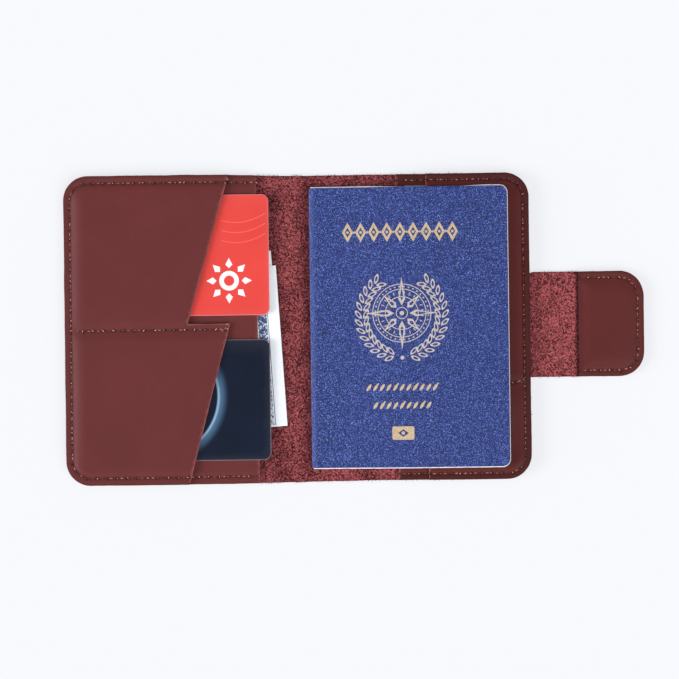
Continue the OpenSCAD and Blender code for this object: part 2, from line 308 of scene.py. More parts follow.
class Sheet:
    """A flat piece cut to an outline: triangles in plan, finer along its seams and edges."""

    def __init__(self, outline, coarse=2.8, fine_paths=(), fine_zone=None, fine_step=0.5,
                 cuts=(), bevel=(0.10, 0.28), holes=()):
        outline = np.asarray(outline, float)
        n = len(outline)
        low, high = outline.min(0), outline.max(0)
        loops = [outline] + [inset(outline, b) for b in bevel]
        edges = loop_edges(loops)
        groups = list(loops)
        total = n * len(loops)
        cut_points = []
        for x, y0, y1 in cuts:
            ends = [int(np.argmin(np.hypot(outline[:, 0] - x, outline[:, 1] - y)))
                    for y in (y0, y1)]
            inner = np.arange(y0 + 1, y1 - 0.5, 1.0)
            chain = [ends[0]] + list(range(total, total + len(inner))) + [ends[1]]
            groups.append(np.stack([np.full(len(inner), x), inner], 1))
            cut_points.append(groups[-1])
            total += len(inner)
            edges += list(zip(chain[:-1], chain[1:]))
        self.points = self.interior(outline, groups, low, high, coarse, fine_paths, fine_zone,
                                    fine_step, bevel[-1] if bevel else 0, cut_points, holes)
        self.points, tris, area = triangulated(self.points, edges, 1e-4)
        within = is_inside(self.points[tris].mean(1), outline)
        self.tris = tris[(np.abs(area) > 1e-7) & within]
        self.edge_gap = near_path(self.points, outline, closed=True)
        self.holes = np.asarray(holes, float).reshape(-1, 2)
        self.hole_gap = near_points(self.points, self.holes)

    @staticmethod
    def interior(outline, groups, low, high, coarse, paths, zone, fine_step, margin, cuts, holes):
        """Grid points at three spacings: fine by seams, middling near edges, coarse elsewhere."""
        candidates = []
        for level, step in enumerate((coarse, max(1.1, coarse / 2.4), fine_step)):
            grid = hex_grid(low, high, step)
            grid = grid[is_inside(grid, outline)]
            edge = near_path(grid, outline, closed=True)
            grid, edge = grid[edge > margin + 0.4 * step], edge[edge > margin + 0.4 * step]
            seam = near_paths(grid, paths)
            middling = (seam < SEAM_NEAR) | (edge < EDGE_NEAR)
            wanted = np.where(seam < SEAM_FINE, 2, np.where(middling, 1, 0))
            if zone is not None:
                wanted = np.maximum(wanted, zone(grid[:, 0], grid[:, 1]))
            candidates.append(grid[wanted == level])
        inner = np.concatenate(candidates)
        for c in cuts:
            inner = inner[near_points(inner, c) > CUT_CLEAR]
        if len(holes):
            holes = np.asarray(holes, float)
            turn = np.radians(np.arange(0, 360, 60))
            rim = np.stack([np.cos(turn), np.sin(turn)], 1)
            around = [holes] + [(holes[:, None] + rim * r).reshape(-1, 2) for r in HOLE_RINGS]
            inner = inner[near_points(inner, holes) > HOLE_CLEAR]
            extra = np.concatenate(around)
            extra = extra[is_inside(extra, outline)]
            inner = np.concatenate([inner, extra])
        return np.concatenate(groups + [inner])

    def piece(self, name, top, bottom, materials, keep=None, cut_x=(), bevel_drop=0.25, rows=2,
              wall_wave=0.04, attributes=None, hand_made=False, rim_width=0.4):
        """The solid between two height functions. Its faces use materials for the top, the cut
        edge and the underside; keep picks triangles by their middle's x."""
        tris = self.tris
        if keep is not None:
            middle = self.points[tris][:, :, 0].mean(1)
            tris = tris[(middle > keep[0]) & (middle < keep[1])]
        used = np.unique(tris)
        index = np.full(len(self.points), -1)
        index[used] = np.arange(len(used))
        plan, tris = self.points[used], index[tris]
        x, y = plan[:, 0], plan[:, 1]
        gap = self.edge_gap[used]
        joined = np.zeros(len(plan), bool)
        for cx in cut_x:
            joined |= np.abs(x - cx) < 1e-3
        outside = 1 - np.clip(gap / BEVEL_REACH, 0, 1)
        shoulder = bevel_drop * (1 - np.sqrt(np.clip(1 - outside ** 2, 0, 1)))
        shoulder = np.where(joined & (gap > 0.01), 0, shoulder)
        zt, zb = top(x, y) - shoulder, bottom(x, y) + shoulder * 0.5
        rim = open_edges(tris)
        n = len(plan)
        verts = [np.stack([x, y, zt], 1), np.stack([x, y, zb], 1)]
        rim_verts = sorted({v for e in rim for v in e})
        place = {v: k for k, v in enumerate(rim_verts)}
        rv = np.array(rim_verts)
        outward = np.zeros((n, 2))
        for a, b in rim:
            d = plan[b] - plan[a]
            outward[[a, b]] += np.array([d[1], -d[0]]) / max(np.hypot(*d), 1e-9)
        outward = unit(outward)
        rng = np.random.default_rng(WALL_SEED)
        for r in range(1, rows + 1):
            t = r / (rows + 1)
            push = wall_wave * (4 * t * (1 - t) + rng.uniform(-1, 1, len(rv)) * 0.5)
            push = np.where(joined[rv], 0, push)
            at = plan[rv] + outward[rv] * push[:, None]
            verts.append(np.column_stack([at, zt[rv] * (1 - t) + zb[rv] * t]))
        faces = [tuple(t) for t in tris] + [tuple(t[::-1] + n) for t in tris]
        marks = [0] * len(tris) + [2] * len(tris)
        m = len(rv)
        for a, b in rim:
            chain_a = [a] + [2 * n + r * m + place[a] for r in range(rows)] + [n + a]
            chain_b = [b] + [2 * n + r * m + place[b] for r in range(rows)] + [n + b]
            for r in range(rows + 1):
                faces.append((chain_b[r], chain_a[r], chain_a[r + 1], chain_b[r + 1]))
                marks.append(1)
        verts = np.concatenate(verts)
        if hand_made:
            verts = hand_cut(verts)
        level = np.concatenate([np.ones(n), np.zeros(n)]
                               + [np.full(m, 1 - (r + 1) / (rows + 1)) for r in range(rows)])
        # painted shade round the needle holes
        hole = np.exp(-(self.hole_gap[used] / HOLE_SHADE_WIDTH) ** 2)
        layers = {
            "level": level,
            "rim": np.concatenate([np.exp(-gap / rim_width)] * 2 + [np.ones(m)] * rows),
            "hole": np.concatenate([hole, hole] + [np.zeros(m)] * rows),
        }
        for key, function in (attributes or {}).items():
            value = function(x, y)
            layers[key] = np.concatenate([value, value] + [value[rv]] * rows)
        obj = make_object(name, verts, faces, materials, marks, layers)
        sharp = obj.data.attributes.new("sharp_edge", "BOOLEAN", "EDGE")
        flags = np.zeros(len(obj.data.edges), bool)
        ends = np.empty(len(obj.data.edges) * 2, int)
        obj.data.edges.foreach_get("vertices", ends)
        ends = ends.reshape(-1, 2)
        cap = np.zeros(len(verts), bool)
        cap[:n], cap[n:2 * n] = joined, joined
        flags[cap[ends[:, 0]] & cap[ends[:, 1]]] = True
        sharp.data.foreach_set("value", flags)
        return obj


# ---- node materials

class Shader:
    """A material being wired: each method adds nodes and returns the socket it made."""

    def __init__(self, name, **fixed):
        self.material = bpy.data.materials.new(name)
        self.material.use_nodes = True
        self.tree = self.material.node_tree
        self.surface = self.tree.nodes["Principled BSDF"]
        for key, value in fixed.items():
            self.surface.inputs[key.replace("_", " ")].default_value = value

    def node(self, kind, **settings):
        made = self.tree.nodes.new(kind)
        for key, value in settings.items():
            setattr(made, key, value)
        return made

    def put(self, socket, value):
        if isinstance(value, bpy.types.NodeSocket):
            self.tree.links.new(value, socket)
        else:
            socket.default_value = value

    def attribute(self, name, vector=False):
        made = self.node("ShaderNodeAttribute", attribute_name=name)
        return made.outputs["Vector" if vector else "Fac"]

    def rest(self, scale=(1, 1, 1)):
        made = self.node("ShaderNodeVectorMath", operation="MULTIPLY")
        self.put(made.inputs[0], self.attribute("rest", vector=True))
        made.inputs[1].default_value = scale
        return made.outputs[0]

    def noise(self, where, scale, detail=2.0, roughness=0.5, distortion=0.0):
        made = self.node("ShaderNodeTexNoise")
        self.put(made.inputs["Vector"], where)
        for key, value in (("Scale", scale), ("Detail", detail), ("Roughness", roughness),
                           ("Distortion", distortion)):
            made.inputs[key].default_value = value
        return made.outputs["Fac"]

    def cells(self, where, scale, output="Distance"):
        made = self.node("ShaderNodeTexVoronoi")
        self.put(made.inputs["Vector"], where)
        made.inputs["Scale"].default_value = scale
        return made.outputs[output]

    def grains(self, where, scale):
        """A random value for each grain of a cell pattern."""
        split = self.node("ShaderNodeSeparateColor")
        self.put(split.inputs[0], self.cells(where, scale, "Color"))
        return split.outputs[0]

    def plan(self):
        """The rest coordinates x and y."""
        split = self.node("ShaderNodeSeparateXYZ")
        self.put(split.inputs[0], self.rest())
        return split.outputs[0], split.outputs[1]

    def calc(self, operation, a, b=0.0, clamp=False):
        made = self.node("ShaderNodeMath", operation=operation, use_clamp=clamp)
        for socket, value in zip(made.inputs, (a, b)):
            self.put(socket, value)
        return made.outputs[0]

    def times(self, value, k):
        return self.calc("MULTIPLY", value, k)

    def tint(self, base, mark, k, colour):
        """The base moved towards a colour by k times a vertex attribute."""
        return self.mix(self.times(self.attribute(mark), k), base, colour)

    def fit(self, value, low, high, to_low=0.0, to_high=1.0):
        made = self.node("ShaderNodeMapRange", interpolation_type="SMOOTHSTEP")
        for key, v in (("Value", value), ("From Min", low), ("From Max", high),
                       ("To Min", to_low), ("To Max", to_high)):
            self.put(made.inputs[key], v)
        return made.outputs[0]

    def mix(self, factor, a, b, blend="MIX"):
        made = self.node("ShaderNodeMix", data_type="RGBA", blend_type=blend)
        self.put(made.inputs[0], factor)
        for socket, value in ((made.inputs[6], a), (made.inputs[7], b)):
            colour = isinstance(value, tuple) and len(value) == 3
            self.put(socket, (*value, 1.0) if colour else value)
        return made.outputs[2]

    def bump(self, height, distance, strength=1.0, under=None):
        made = self.node("ShaderNodeBump")
        made.inputs["Strength"].default_value = strength
        made.inputs["Distance"].default_value = distance * MM
        self.put(made.inputs["Height"], height)
        if under is not None:
            self.put(made.inputs["Normal"], under)
        return made.outputs[0]

    def finish(self, colour=None, roughness=None, normal=None):
        if colour is not None:
            self.put(self.surface.inputs["Base Color"], colour)
        if roughness is not None:
            self.put(self.surface.inputs["Roughness"], roughness)
        if normal is not None:
            self.put(self.surface.inputs["Normal"], normal)
        return self.material


def srgb(r, g, b):
    """Linear colour of an 8-bit screen colour."""
    return tuple(((c / 255 + 0.055) / 1.055) ** 2.4 if c > 10 else c / 255 / 12.92
                 for c in (r, g, b))


def scaled(colour, k):
    return tuple(c * k for c in colour)


def grain_leather(name, colour, outer=0.0):
    """Smooth oiled leather: fine pores, faint pull-up clouds, painted shade in needle holes and
    seam grooves, pale cut mouths with a painted highlight, a painted purplish sheen on some slopes.
    outer paints shade on the band outside the seam, which lies lower."""
    s = Shader(name, Specular_IOR_Level=0.22)
    where = s.rest()
    cloud = s.noise(where, 0.045, 3.0, 0.55)
    mottle = s.noise(where, 0.6, 3.0, 0.6)
    pores = s.cells(where, 1.9)
    fine = s.noise(where, 4.5, 2.0, 0.6)
    base = s.mix(s.fit(cloud, 0.3, 0.7), scaled(colour, 0.95), scaled(colour, 1.05))
    base = s.mix(s.fit(mottle, 0.35, 0.7, 0.0, 0.14), base, scaled(colour, 0.82))
    # painted shade on the band outside the seam, which lies lower than the panel inside it
    base = s.tint(base, "outer", outer, scaled(colour, 0.55))
    # painted highlight: a purplish sheen on slopes that face the light
    base = s.tint(base, "painted_sheen", 0.16, (0.30, 0.135, 0.165))
    base = s.tint(base, "rim", 0.75, scaled(colour, 0.35))
    # painted shade in the seam's groove
    base = s.tint(base, "seam", 0.45, scaled(colour, 0.42))
    # paler cut edge at the mouths, partly a painted highlight
    base = s.tint(base, "mouth", 0.9, MOUTH_EDGE_AND_HIGHLIGHT)
    # painted shade in and round the needle holes
    base = s.tint(base, "hole", 0.95, scaled(colour, 0.06))
    height = s.calc("ADD", s.fit(pores, 0.0, 0.55), s.times(fine, 0.35))
    normal = s.bump(height, 0.035, 0.8, s.bump(s.noise(where, 0.35, 2.0), 0.10, 0.5))
    rough = s.fit(mottle, 0.2, 0.8, 0.46, 0.58)
    return s.finish(base, rough, normal)


def suede(name, light, dark):
    """Napped flesh side: clumps of brushed fibres in uneven tone, darkened by painted shade where
    the cover marks it.
    """
    s = Shader(name, Roughness=0.95, Specular_IOR_Level=0.08, Sheen_Weight=0.08,
               Sheen_Roughness=0.5)
    where = s.rest()
    cloud = s.noise(where, 0.13, 3.0, 0.6)
    clump = s.noise(where, 1.5, 4.0, 0.85, 0.5)
    grain = s.grains(s.rest((1.0, 0.85, 1.0)), 2.3)
    tone = s.calc("ADD", s.times(clump, 0.52), s.times(grain, 0.44))
    tone = s.calc("ADD", tone, s.fit(cloud, 0.35, 0.65, -0.03, 0.02))
    # painted shade from the cover's lie attribute, with some uneven tone
    tone = s.calc("SUBTRACT", tone, s.times(s.attribute("lie"), 0.035))
    base = s.mix(s.fit(tone, 0.22, 0.74), dark, light)
    pit = s.fit(s.noise(where, 1.5, 3.0, 0.85), 0.55, 0.62)
    base = s.mix(s.times(pit, 0.60), base, dark)
    base = s.mix(s.calc("MULTIPLY", s.attribute("lie"), 0.13, clamp=True), base, dark)
    base = s.tint(base, "rim", 0.55, scaled(dark, 1.2))
    return s.finish(base, None, s.bump(tone, 0.35, 1.0))


def raw_edge(name, colour):
    """Cut edge of the leather: matt and fibrous, in faint layers."""
    s = Shader(name, Roughness=0.85, Specular_IOR_Level=0.2)
    where = s.rest((1.0, 1.0, 2.5))
    fibre = s.noise(where, 2.2, 4.0, 0.7)
    base = s.mix(s.fit(fibre, 0.3, 0.7), scaled(colour, 0.72), scaled(colour, 1.2))
    return s.finish(base, None, s.bump(fibre, 0.12, 0.8))


def thread(name, colour, highlight_colour):
    """Waxed thread; painted highlights pale its crests and the loops at its holes."""
    s = Shader(name, Roughness=0.50, Specular_IOR_Level=0.3)
    where = s.rest()
    ply = s.noise(where, 5.0, 2.0, 0.7)
    base = s.mix(s.fit(ply, 0.3, 0.7), scaled(colour, 0.35), scaled(colour, 1.7))
    # painted highlight on the loops and the stitches' crests
    base = s.mix(s.attribute("thread_highlight"), base, highlight_colour)
    return s.finish(base, None, s.bump(ply, 0.05, 0.6))


SPARK = (0.25, 0.38, 0.95)


def booklet_cover(name, colour):
    """Navy leatherette: grains under half a millimetre wide, some of them catching light."""
    s = Shader(name, Specular_IOR_Level=0.40)
    where = s.rest()
    grain = s.grains(where, 4.2)
    pebble = s.cells(where, 4.2)
    cloud = s.noise(where, 0.05, 2.0)
    base = s.mix(s.fit(grain, 0.0, 1.0), scaled(colour, 0.12), scaled(colour, 1.60))
    base = s.mix(s.times(s.fit(grain, 0.84, 0.97), 0.85), base, SPARK)
    base = s.mix(s.fit(cloud, 0.3, 0.7, 0.0, 0.10), base, scaled(colour, 1.5))
    # painted highlight along the front board's hinge ridge
    base = s.tint(base, "painted_light_amount", 0.45, (0.10, 0.15, 0.42))
    height = s.calc("SUBTRACT", s.times(grain, 0.8), pebble)
    return s.finish(base, s.fit(grain, 0.2, 0.9, 0.60, 0.40), s.bump(height, 0.07, 0.8))


def foil(name, colour):
    """Hot-stamped foil: bright, a little broken up by the grain beneath."""
    s = Shader(name, Metallic=0.55)
    where = s.rest()
    wear = s.noise(where, 1.6, 3.0, 0.7)
    base = s.mix(s.fit(wear, 0.35, 0.75), colour, scaled(colour, 0.62))
    return s.finish(base, s.fit(wear, 0.2, 0.8, 0.34, 0.55), s.bump(wear, 0.03, 0.5))


def plastic(name, colour, accent=None, roughness=0.32, shine=0.4):
    """Card plastic with a faint printed tone and a satin laminate."""
    s = Shader(name, Specular_IOR_Level=shine)
    where = s.rest()
    tone = s.noise(where, 0.03, 2.0)
    dots = s.noise(where, 3.2, 2.0, 0.7)
    base = s.mix(s.fit(tone, 0.3, 0.7), scaled(colour, 0.95), accent or scaled(colour, 1.05))
    base = s.mix(s.fit(dots, 0.3, 0.8, 0.0, 0.05), base, scaled(colour, 0.7))
    base = s.tint(base, "rim", 0.42, (0.85, 0.72, 0.74))
    rough = s.fit(dots, 0.2, 0.8, roughness, roughness + 0.08)
    return s.finish(base, rough, s.bump(dots, 0.006, 0.4))


def ink(name, colour, roughness=0.4):
    """Printed area on a card or a note."""
    s = Shader(name, Specular_IOR_Level=0.4)
    speck = s.noise(s.rest(), 2.6, 2.0, 0.7)
    base = s.mix(s.fit(speck, 0.3, 0.8, 0.0, 0.10), colour, scaled(colour, 0.8))
    return s.finish(base, s.fit(speck, 0.2, 0.8, roughness, roughness + 0.1))


def glow_ring(name, centre, radius, reach):
    """Ink with a thin bright line at one radius, dark inside it and fading to navy outside."""
    s = Shader(name, Roughness=0.3, Specular_IOR_Level=0.25)
    away = s.node("ShaderNodeVectorMath", operation="DISTANCE")
    s.put(away.inputs[0], s.rest((1.0, 1.0, 0.0)))
    away.inputs[1].default_value = (*centre, 0.0)
    gap = s.calc("SUBTRACT", away.outputs["Value"], radius)
    glow = s.times(s.fit(gap, -0.5, 0.1), s.fit(gap, 0.0, reach, 1.0, 0.0))
    line = s.fit(s.calc("ABSOLUTE", s.calc("SUBTRACT", gap, 0.45)), 0.0, 0.85, 0.85, 0.0)
    base = s.mix(glow, (0.0045, 0.010, 0.028), (0.085, 0.19, 0.33))
    return s.finish(s.mix(line, base, (0.34, 0.50, 0.66)))


def paper(name, colour, leaves=0, glow=0.0):
    """Paper; with leaves it shows that many sheet edges on a block's side. glow is painted light:
    an emission that lifts the paper out of shade.
    """
    s = Shader(name, Roughness=0.8, Specular_IOR_Level=0.25)
    # emission: painted light on the paper
    s.surface.inputs["Emission Color"].default_value = (0.9, 0.95, 1.0, 1.0)
    s.surface.inputs["Emission Strength"].default_value = glow
    where = s.rest()
    fibre = s.noise(where, 1.4, 3.0, 0.6)
    base = s.mix(s.fit(fibre, 0.3, 0.7), scaled(colour, 0.94), colour)
    height = fibre
    if leaves:
        line = s.calc("FRACT", s.times(s.attribute("level"), float(leaves)))
        gap = s.fit(s.calc("ABSOLUTE", s.calc("SUBTRACT", line, 0.5)), 0.30, 0.5)
        base = s.mix(s.times(gap, 0.55), base, scaled(colour, 0.45))
        height = s.calc("SUBTRACT", fibre, gap)
    return s.finish(base, None, s.bump(height, 0.04, 0.5))


def engraving(name, colour, dark):
    """Line work of a printed note: uneven waves in slate, lighter towards its lower end."""
    s = Shader(name, Roughness=0.75, Specular_IOR_Level=0.2)
    where = s.rest()
    x, y = s.plan()
    blot = s.noise(s.rest((1.0, 0.7, 1.0)), 1.15, 3.0, 0.65, 0.6)
    sway = s.times(s.noise(where, 0.35, 2.0), 9.0)
    across = s.calc("ADD", s.times(x, 3.0), s.times(y, 2.2))
    fine = s.calc("SINE", s.calc("ADD", across, sway))
    open_share = s.fit(y, -14.0, 0.0, 0.03, -0.05)
    base = s.mix(s.fit(s.calc("ADD", blot, open_share), 0.47, 0.54), dark, colour)
    base = s.mix(s.fit(fine, 0.1, 0.8, 0.0, 0.30), base, scaled(dark, 1.8))
    return s.finish(base)


def wave_print(name, colour, line):
    """Page tinted with fine even waves."""
    s = Shader(name, Roughness=0.8, Specular_IOR_Level=0.2)
    x, y = s.plan()
    sway = s.calc("SINE", s.times(x, 0.35))
    wave = s.calc("SINE", s.calc("ADD", s.times(y, 3.2), s.times(sway, 5.0)))
    fibre = s.noise(s.rest(), 1.4, 3.0, 0.6)
    base = s.mix(s.fit(wave, 0.55, 0.95, 0.0, 0.55), colour, line)
    base = s.mix(s.fit(fibre, 0.3, 0.8, 0.0, 0.08), base, scaled(colour, 0.75))
    return s.finish(base)


def bare_metal(name, colour):
    """Turned steel or nickel, for the hidden discs."""
    s = Shader(name, Metallic=1.0)
    where = s.node("ShaderNodeTexCoord").outputs["Object"]
    turned = s.noise(where, 900.0, 3.0, 0.6)
    base = s.mix(s.fit(turned, 0.3, 0.7), scaled(colour, 0.85), colour)
    return s.finish(base, s.fit(turned, 0.2, 0.8, 0.25, 0.4), s.bump(turned, 0.01, 0.4))


# the cut edge's own paler colour, brightened into a painted highlight
MOUTH_EDGE_AND_HIGHLIGHT = (0.46, 0.130, 0.120)
LEATHER_LEFT = grain_leather("leather_left", (0.135, 0.0245, 0.0245))
# 0.62: painted shade on the band outside the seam
LEATHER_RIGHT = grain_leather("leather_right", (0.098, 0.0130, 0.0116), 0.62)
LEATHER_TAB = grain_leather("leather_tab", (0.108, 0.0165, 0.0150))
LEATHER_OUT = grain_leather("leather_outside", (0.118, 0.020, 0.020))
SUEDE = suede("suede_inside", (0.575, 0.134, 0.146), (0.046, 0.007, 0.009))
EDGE = raw_edge("leather_cut_edge", (0.105, 0.018, 0.020))
# third colour: painted highlight on the thread's crests and loops
THREAD = thread("thread", (0.052, 0.0095, 0.0095), (0.72, 0.33, 0.26))


# ---- outlines

def cover_outline():
    """The whole outer leather, strap included, anticlockwise."""
    r, h, s = CORNER_R, HALF_H, STRAP_HALF
    points = [(SPINE_MID, -h)]
    points += arc(RIGHT - r, r - h, r, -90, 0)
    points += [(RIGHT, -s)] + arc(TIP - r, r - s, r, -90, 0) + arc(TIP - r, s - r, r, 0, 90)
    points += [(RIGHT, s)] + arc(RIGHT - r, h - r, r, 0, 90)
    points += [(SPINE_MID, h)] + arc(LEFT + r, h - r, r, 90, 180)
    points += arc(LEFT + r, r - h, r, 180, 270)
    return divided(points, 0.8)


def rough_cut(outline, fixed_x=()):
    """The outline with the small waver of leather cut by hand; points at fixed_x stay."""
    normal = inset(outline, 1.0) - outline
    waver = 0.10 * blob_noise(outline[:, 0], outline[:, 1], 9.0, 21)
    waver += 0.05 * blob_noise(outline[:, 0], outline[:, 1], 1.6, 22)
    for x in fixed_x:
        waver = np.where(np.abs(outline[:, 0] - x) < 2.0, 0, waver)
    return outline + normal * waver[:, None] * 0.8


def left_outline(mouth):
    """A panel sewn round the front cover; mouth lists its open side from bottom to top."""
    r, h = CORNER_R, HALF_H
    points = list(mouth) + arc(LEFT + r, h - r, r, 90, 180) + arc(LEFT + r, r - h, r, 180, 270)
    return rough_cut(divided(points, 0.8))


def right_outline(x_mouth):
    r, h = CORNER_R, HALF_H
    points = [(x_mouth, h), (x_mouth, -h)] + arc(RIGHT - r, r - h, r, -90, 0)
    points += arc(RIGHT - r, h - r, r, 0, 90)
    return rough_cut(divided(points, 0.8))


def lining_outline():
    r, s = CORNER_R, STRAP_HALF
    points = [(LINING_LEFT, s), (LINING_LEFT, -s)] + arc(TIP - r, r - s, r, -90, 0)
    points += arc(TIP - r, s - r, r, 0, 90)
    return rough_cut(divided(points, 0.7))


FINE_ARC = 0.35                 # spacing of points round a card's or booklet's corner


def round_rect(x0, y0, x1, y1, radii, step=0.6):
    """Rectangle with its own radius at each corner, in the order SW, SE, NE, NW."""
    corners = ((x0, y0, 180), (x1, y0, 270), (x1, y1, 0), (x0, y1, 90))
    signs = ((1, 1), (-1, 1), (-1, -1), (1, -1))
    points = []
    for (cx, cy, a), (sx, sy), r in zip(corners, signs, radii):
        points += arc(cx + sx * r, cy + sy * r, r, a, a + 90, FINE_ARC) if r > 0 else [(cx, cy)]
    return divided(points, step)


# ---- seams

def edge_depth(x, y, side):
    """How far a point is inside the cover's outer, top and bottom edges."""
    a = (x - LEFT) if side < 0 else (RIGHT - x)
    return depth_in_corner(a, HALF_H - np.abs(y))


def tab_depth(x, y):
    return depth_in_corner(TIP - x, STRAP_HALF - np.abs(y))


def depth_in_corner(a, b):
    corner = CORNER_R - np.hypot(np.maximum(CORNER_R - a, 0), np.maximum(CORNER_R - b, 0))
    return np.where((a < CORNER_R) & (b < CORNER_R), corner, np.minimum(a, b))


def u_seam(side, x_mouth, x_edge, h, r):
    """Places and headings of the stitches of a seam round three sides."""
    run, bend, down = abs(x_edge - x_mouth) - r, math.pi * r / 2, 2 * (h - r)
    total = 2 * run + 2 * bend + down
    count = int(total // PITCH)
    out = []
    for i in range(count):
        s = (i + 0.5) * total / count
        if s < run:
            out.append((x_mouth + side * s, h, 0))
        elif s < run + bend:
            a = (s - run) / r
            out.append((x_edge - side * r * (1 - math.sin(a)), h - r * (1 - math.cos(a)),
                        -side * a))
        elif s < run + bend + down:
            out.append((x_edge, h - r - (s - run - bend), math.pi / 2))
        elif s < run + 2 * bend + down:
            a = (s - run - bend - down) / r
            out.append((x_edge - side * r * (1 - math.cos(a)), r - h - r * math.sin(a),
                        side * (math.pi / 2 - a)))
        else:
            out.append((x_edge - side * (s - bend * 2 - down - run + r), -h, 0))
    return out


def row_seam(x0, x1, y):
    count = int((x1 - x0) // PITCH)
    return [(x0 + (i + 0.5) * (x1 - x0) / count, y, 0) for i in range(count)]


SEAM_R = CORNER_R - SEAM_INSET
SEAM_HALF = HALF_H - SEAM_INSET
SEAM_FRONT = u_seam(-1, NOTE_MOUTH, LEFT + SEAM_INSET, SEAM_HALF - 0.5, SEAM_R)
SEAM_BACK = u_seam(1, PASSPORT_MOUTH, RIGHT - SEAM_INSET, SEAM_HALF, SEAM_R)
SEAM_TAB = u_seam(1, LINING_LEFT, TIP - SEAM_INSET, STRAP_HALF - SEAM_INSET, SEAM_R)
SEAM_CARDS = row_seam(LEFT + SEAM_INSET + 1, CARD_FAR - 2, 0.0)
SEAM_SIDE = row_seam(SIDE_MOUTH + 1, RIGHT - SEAM_INSET - 1, SIDE_DIVIDER)


def seam_path(stitches):
    return [(x, y) for x, y, _ in stitches]


def needle_holes(*seams):
    """The holes between stitches, each shared by its two neighbours."""
    out = []
    for stitches in seams:
        for x, y, turn in stitches:
            for end in (-1, 1):
                reach = end * PITCH * 0.5
                spot = (x + reach * math.cos(turn), y + reach * math.sin(turn))
                if all(math.dist(spot, other) > 1.2 for other in out):
                    out.append(spot)
    return np.array(out)


PRICK_WIDTH = 0.30


def pinch(x, y, paths, width=0.75):
    """1 on a seam, falling to 0 beside it."""
    return np.exp(-(near_paths(np.stack([x, y], 1), paths) / width) ** 2)


def prick(x, y, holes):
    """1 at a needle hole, falling to 0 beside it."""
    return np.exp(-(near_points(np.stack([x, y], 1), holes) / PRICK_WIDTH) ** 2)


# ---- heights of the leather

# How far in from the sewn edge each panel begins and ends its climb.
NOTE_CLIMB = (3.3, 5.8)
CARD_CLIMB = (3.2, 5.9)
PASSPORT_CLIMB = (3.2, 6.2)
SIDE_CLIMB = (2.7, 3.9)
TAB_CLIMB = (3.2, 8.5)
TAB_ROOM = 1.1                  # for the magnet under the tab's lining


def note_base(x, y):
    return COVER_T + NOTE_GAP * rise(edge_depth(x, y, -1), *NOTE_CLIMB)


def note_top(x, y):
    k = rise(edge_depth(x, y, -1), *NOTE_CLIMB)
    return COVER_T + RIM_T + (NOTE_TOP - COVER_T - RIM_T) * k


def card_lift(x, y):
    """Share of a card's room that the card panel stands up, from its seams inwards."""
    return np.minimum(rise(edge_depth(x, y, -1), *CARD_CLIMB), rise(np.abs(y), 0.9, 4.4))


def card_base(x, y):
    return note_top(x, y) + CARD_GAP * card_lift(x, y)


def card_top(x, y):
    """The card panel's face, crowned a little over each card."""
    k = card_lift(x, y)
    crown = 0.22 * rise(edge_depth(x, y, -1), 3.6, 10) * rise(np.abs(y), 1.5, 12)
    return card_base(x, y) + RIM_T + (SKIN_T - RIM_T) * k + crown


def passport_base(x, y):
    return COVER_T + PASSPORT_GAP * rise(edge_depth(x, y, 1), *PASSPORT_CLIMB)


def passport_top(x, y):
    k = rise(edge_depth(x, y, 1), *PASSPORT_CLIMB)
    return COVER_T + RIM_T + (PASSPORT_TOP - COVER_T - RIM_T) * k


def side_lift(x, y):
    """Share of its room that the side panel stands up; the small lower slot is empty."""
    upper = rise(y - SIDE_DIVIDER, 0.6, 2.7)
    lower = rise(SIDE_DIVIDER - y, 0.8, 5.0) * 0.45
    return np.minimum(rise(edge_depth(x, y, 1), *SIDE_CLIMB), np.maximum(upper, lower))


def side_base(x, y):
    room = PASSPORT_TOP + CARD_GAP - COVER_T - RIM_T
    return np.maximum(COVER_T + RIM_T + room * side_lift(x, y), passport_top(x, y) + 0.01)


def side_top(x, y):
    return side_base(x, y) + RIM_T + (SKIN_T - RIM_T) * side_lift(x, y)


def lining_base(x, y):
    k = np.minimum(rise(tab_depth(x, y), *TAB_CLIMB), rise(x - LINING_LEFT, 0.0, 6.5))
    return COVER_T + TAB_ROOM * k


def lining_top(x, y):
    k = rise(tab_depth(x, y), *TAB_CLIMB)
    return lining_base(x, y) + RIM_T + (SKIN_T - RIM_T) * k


def mouth_edge_and_highlight(mouth):
    """Attribute that marks the paler cut edge along a pocket's open side, lightened further by a
    painted highlight.
    """
    def value(x, y):
        gap = near_path(np.stack([x, y], 1), mouth)
        return np.exp(-(gap / 0.26) ** 2) * (1 - rise(np.abs(y), HALF_H - 1.5, HALF_H - 0.5))
    return value


def sewn(surface, paths, holes, depth=0.30):
    """A surface drawn down by its stitching."""
    def height(x, y):
        dip = depth * pinch(x, y, paths) + 0.45 * prick(x, y, holes)
        ripple = 0.03 * blob_noise(x, y, 7.0, 5) + 0.015 * blob_noise(x, y, 2.4, 6)
        return surface(x, y) - dip + ripple
    return height


# ---- outer leather

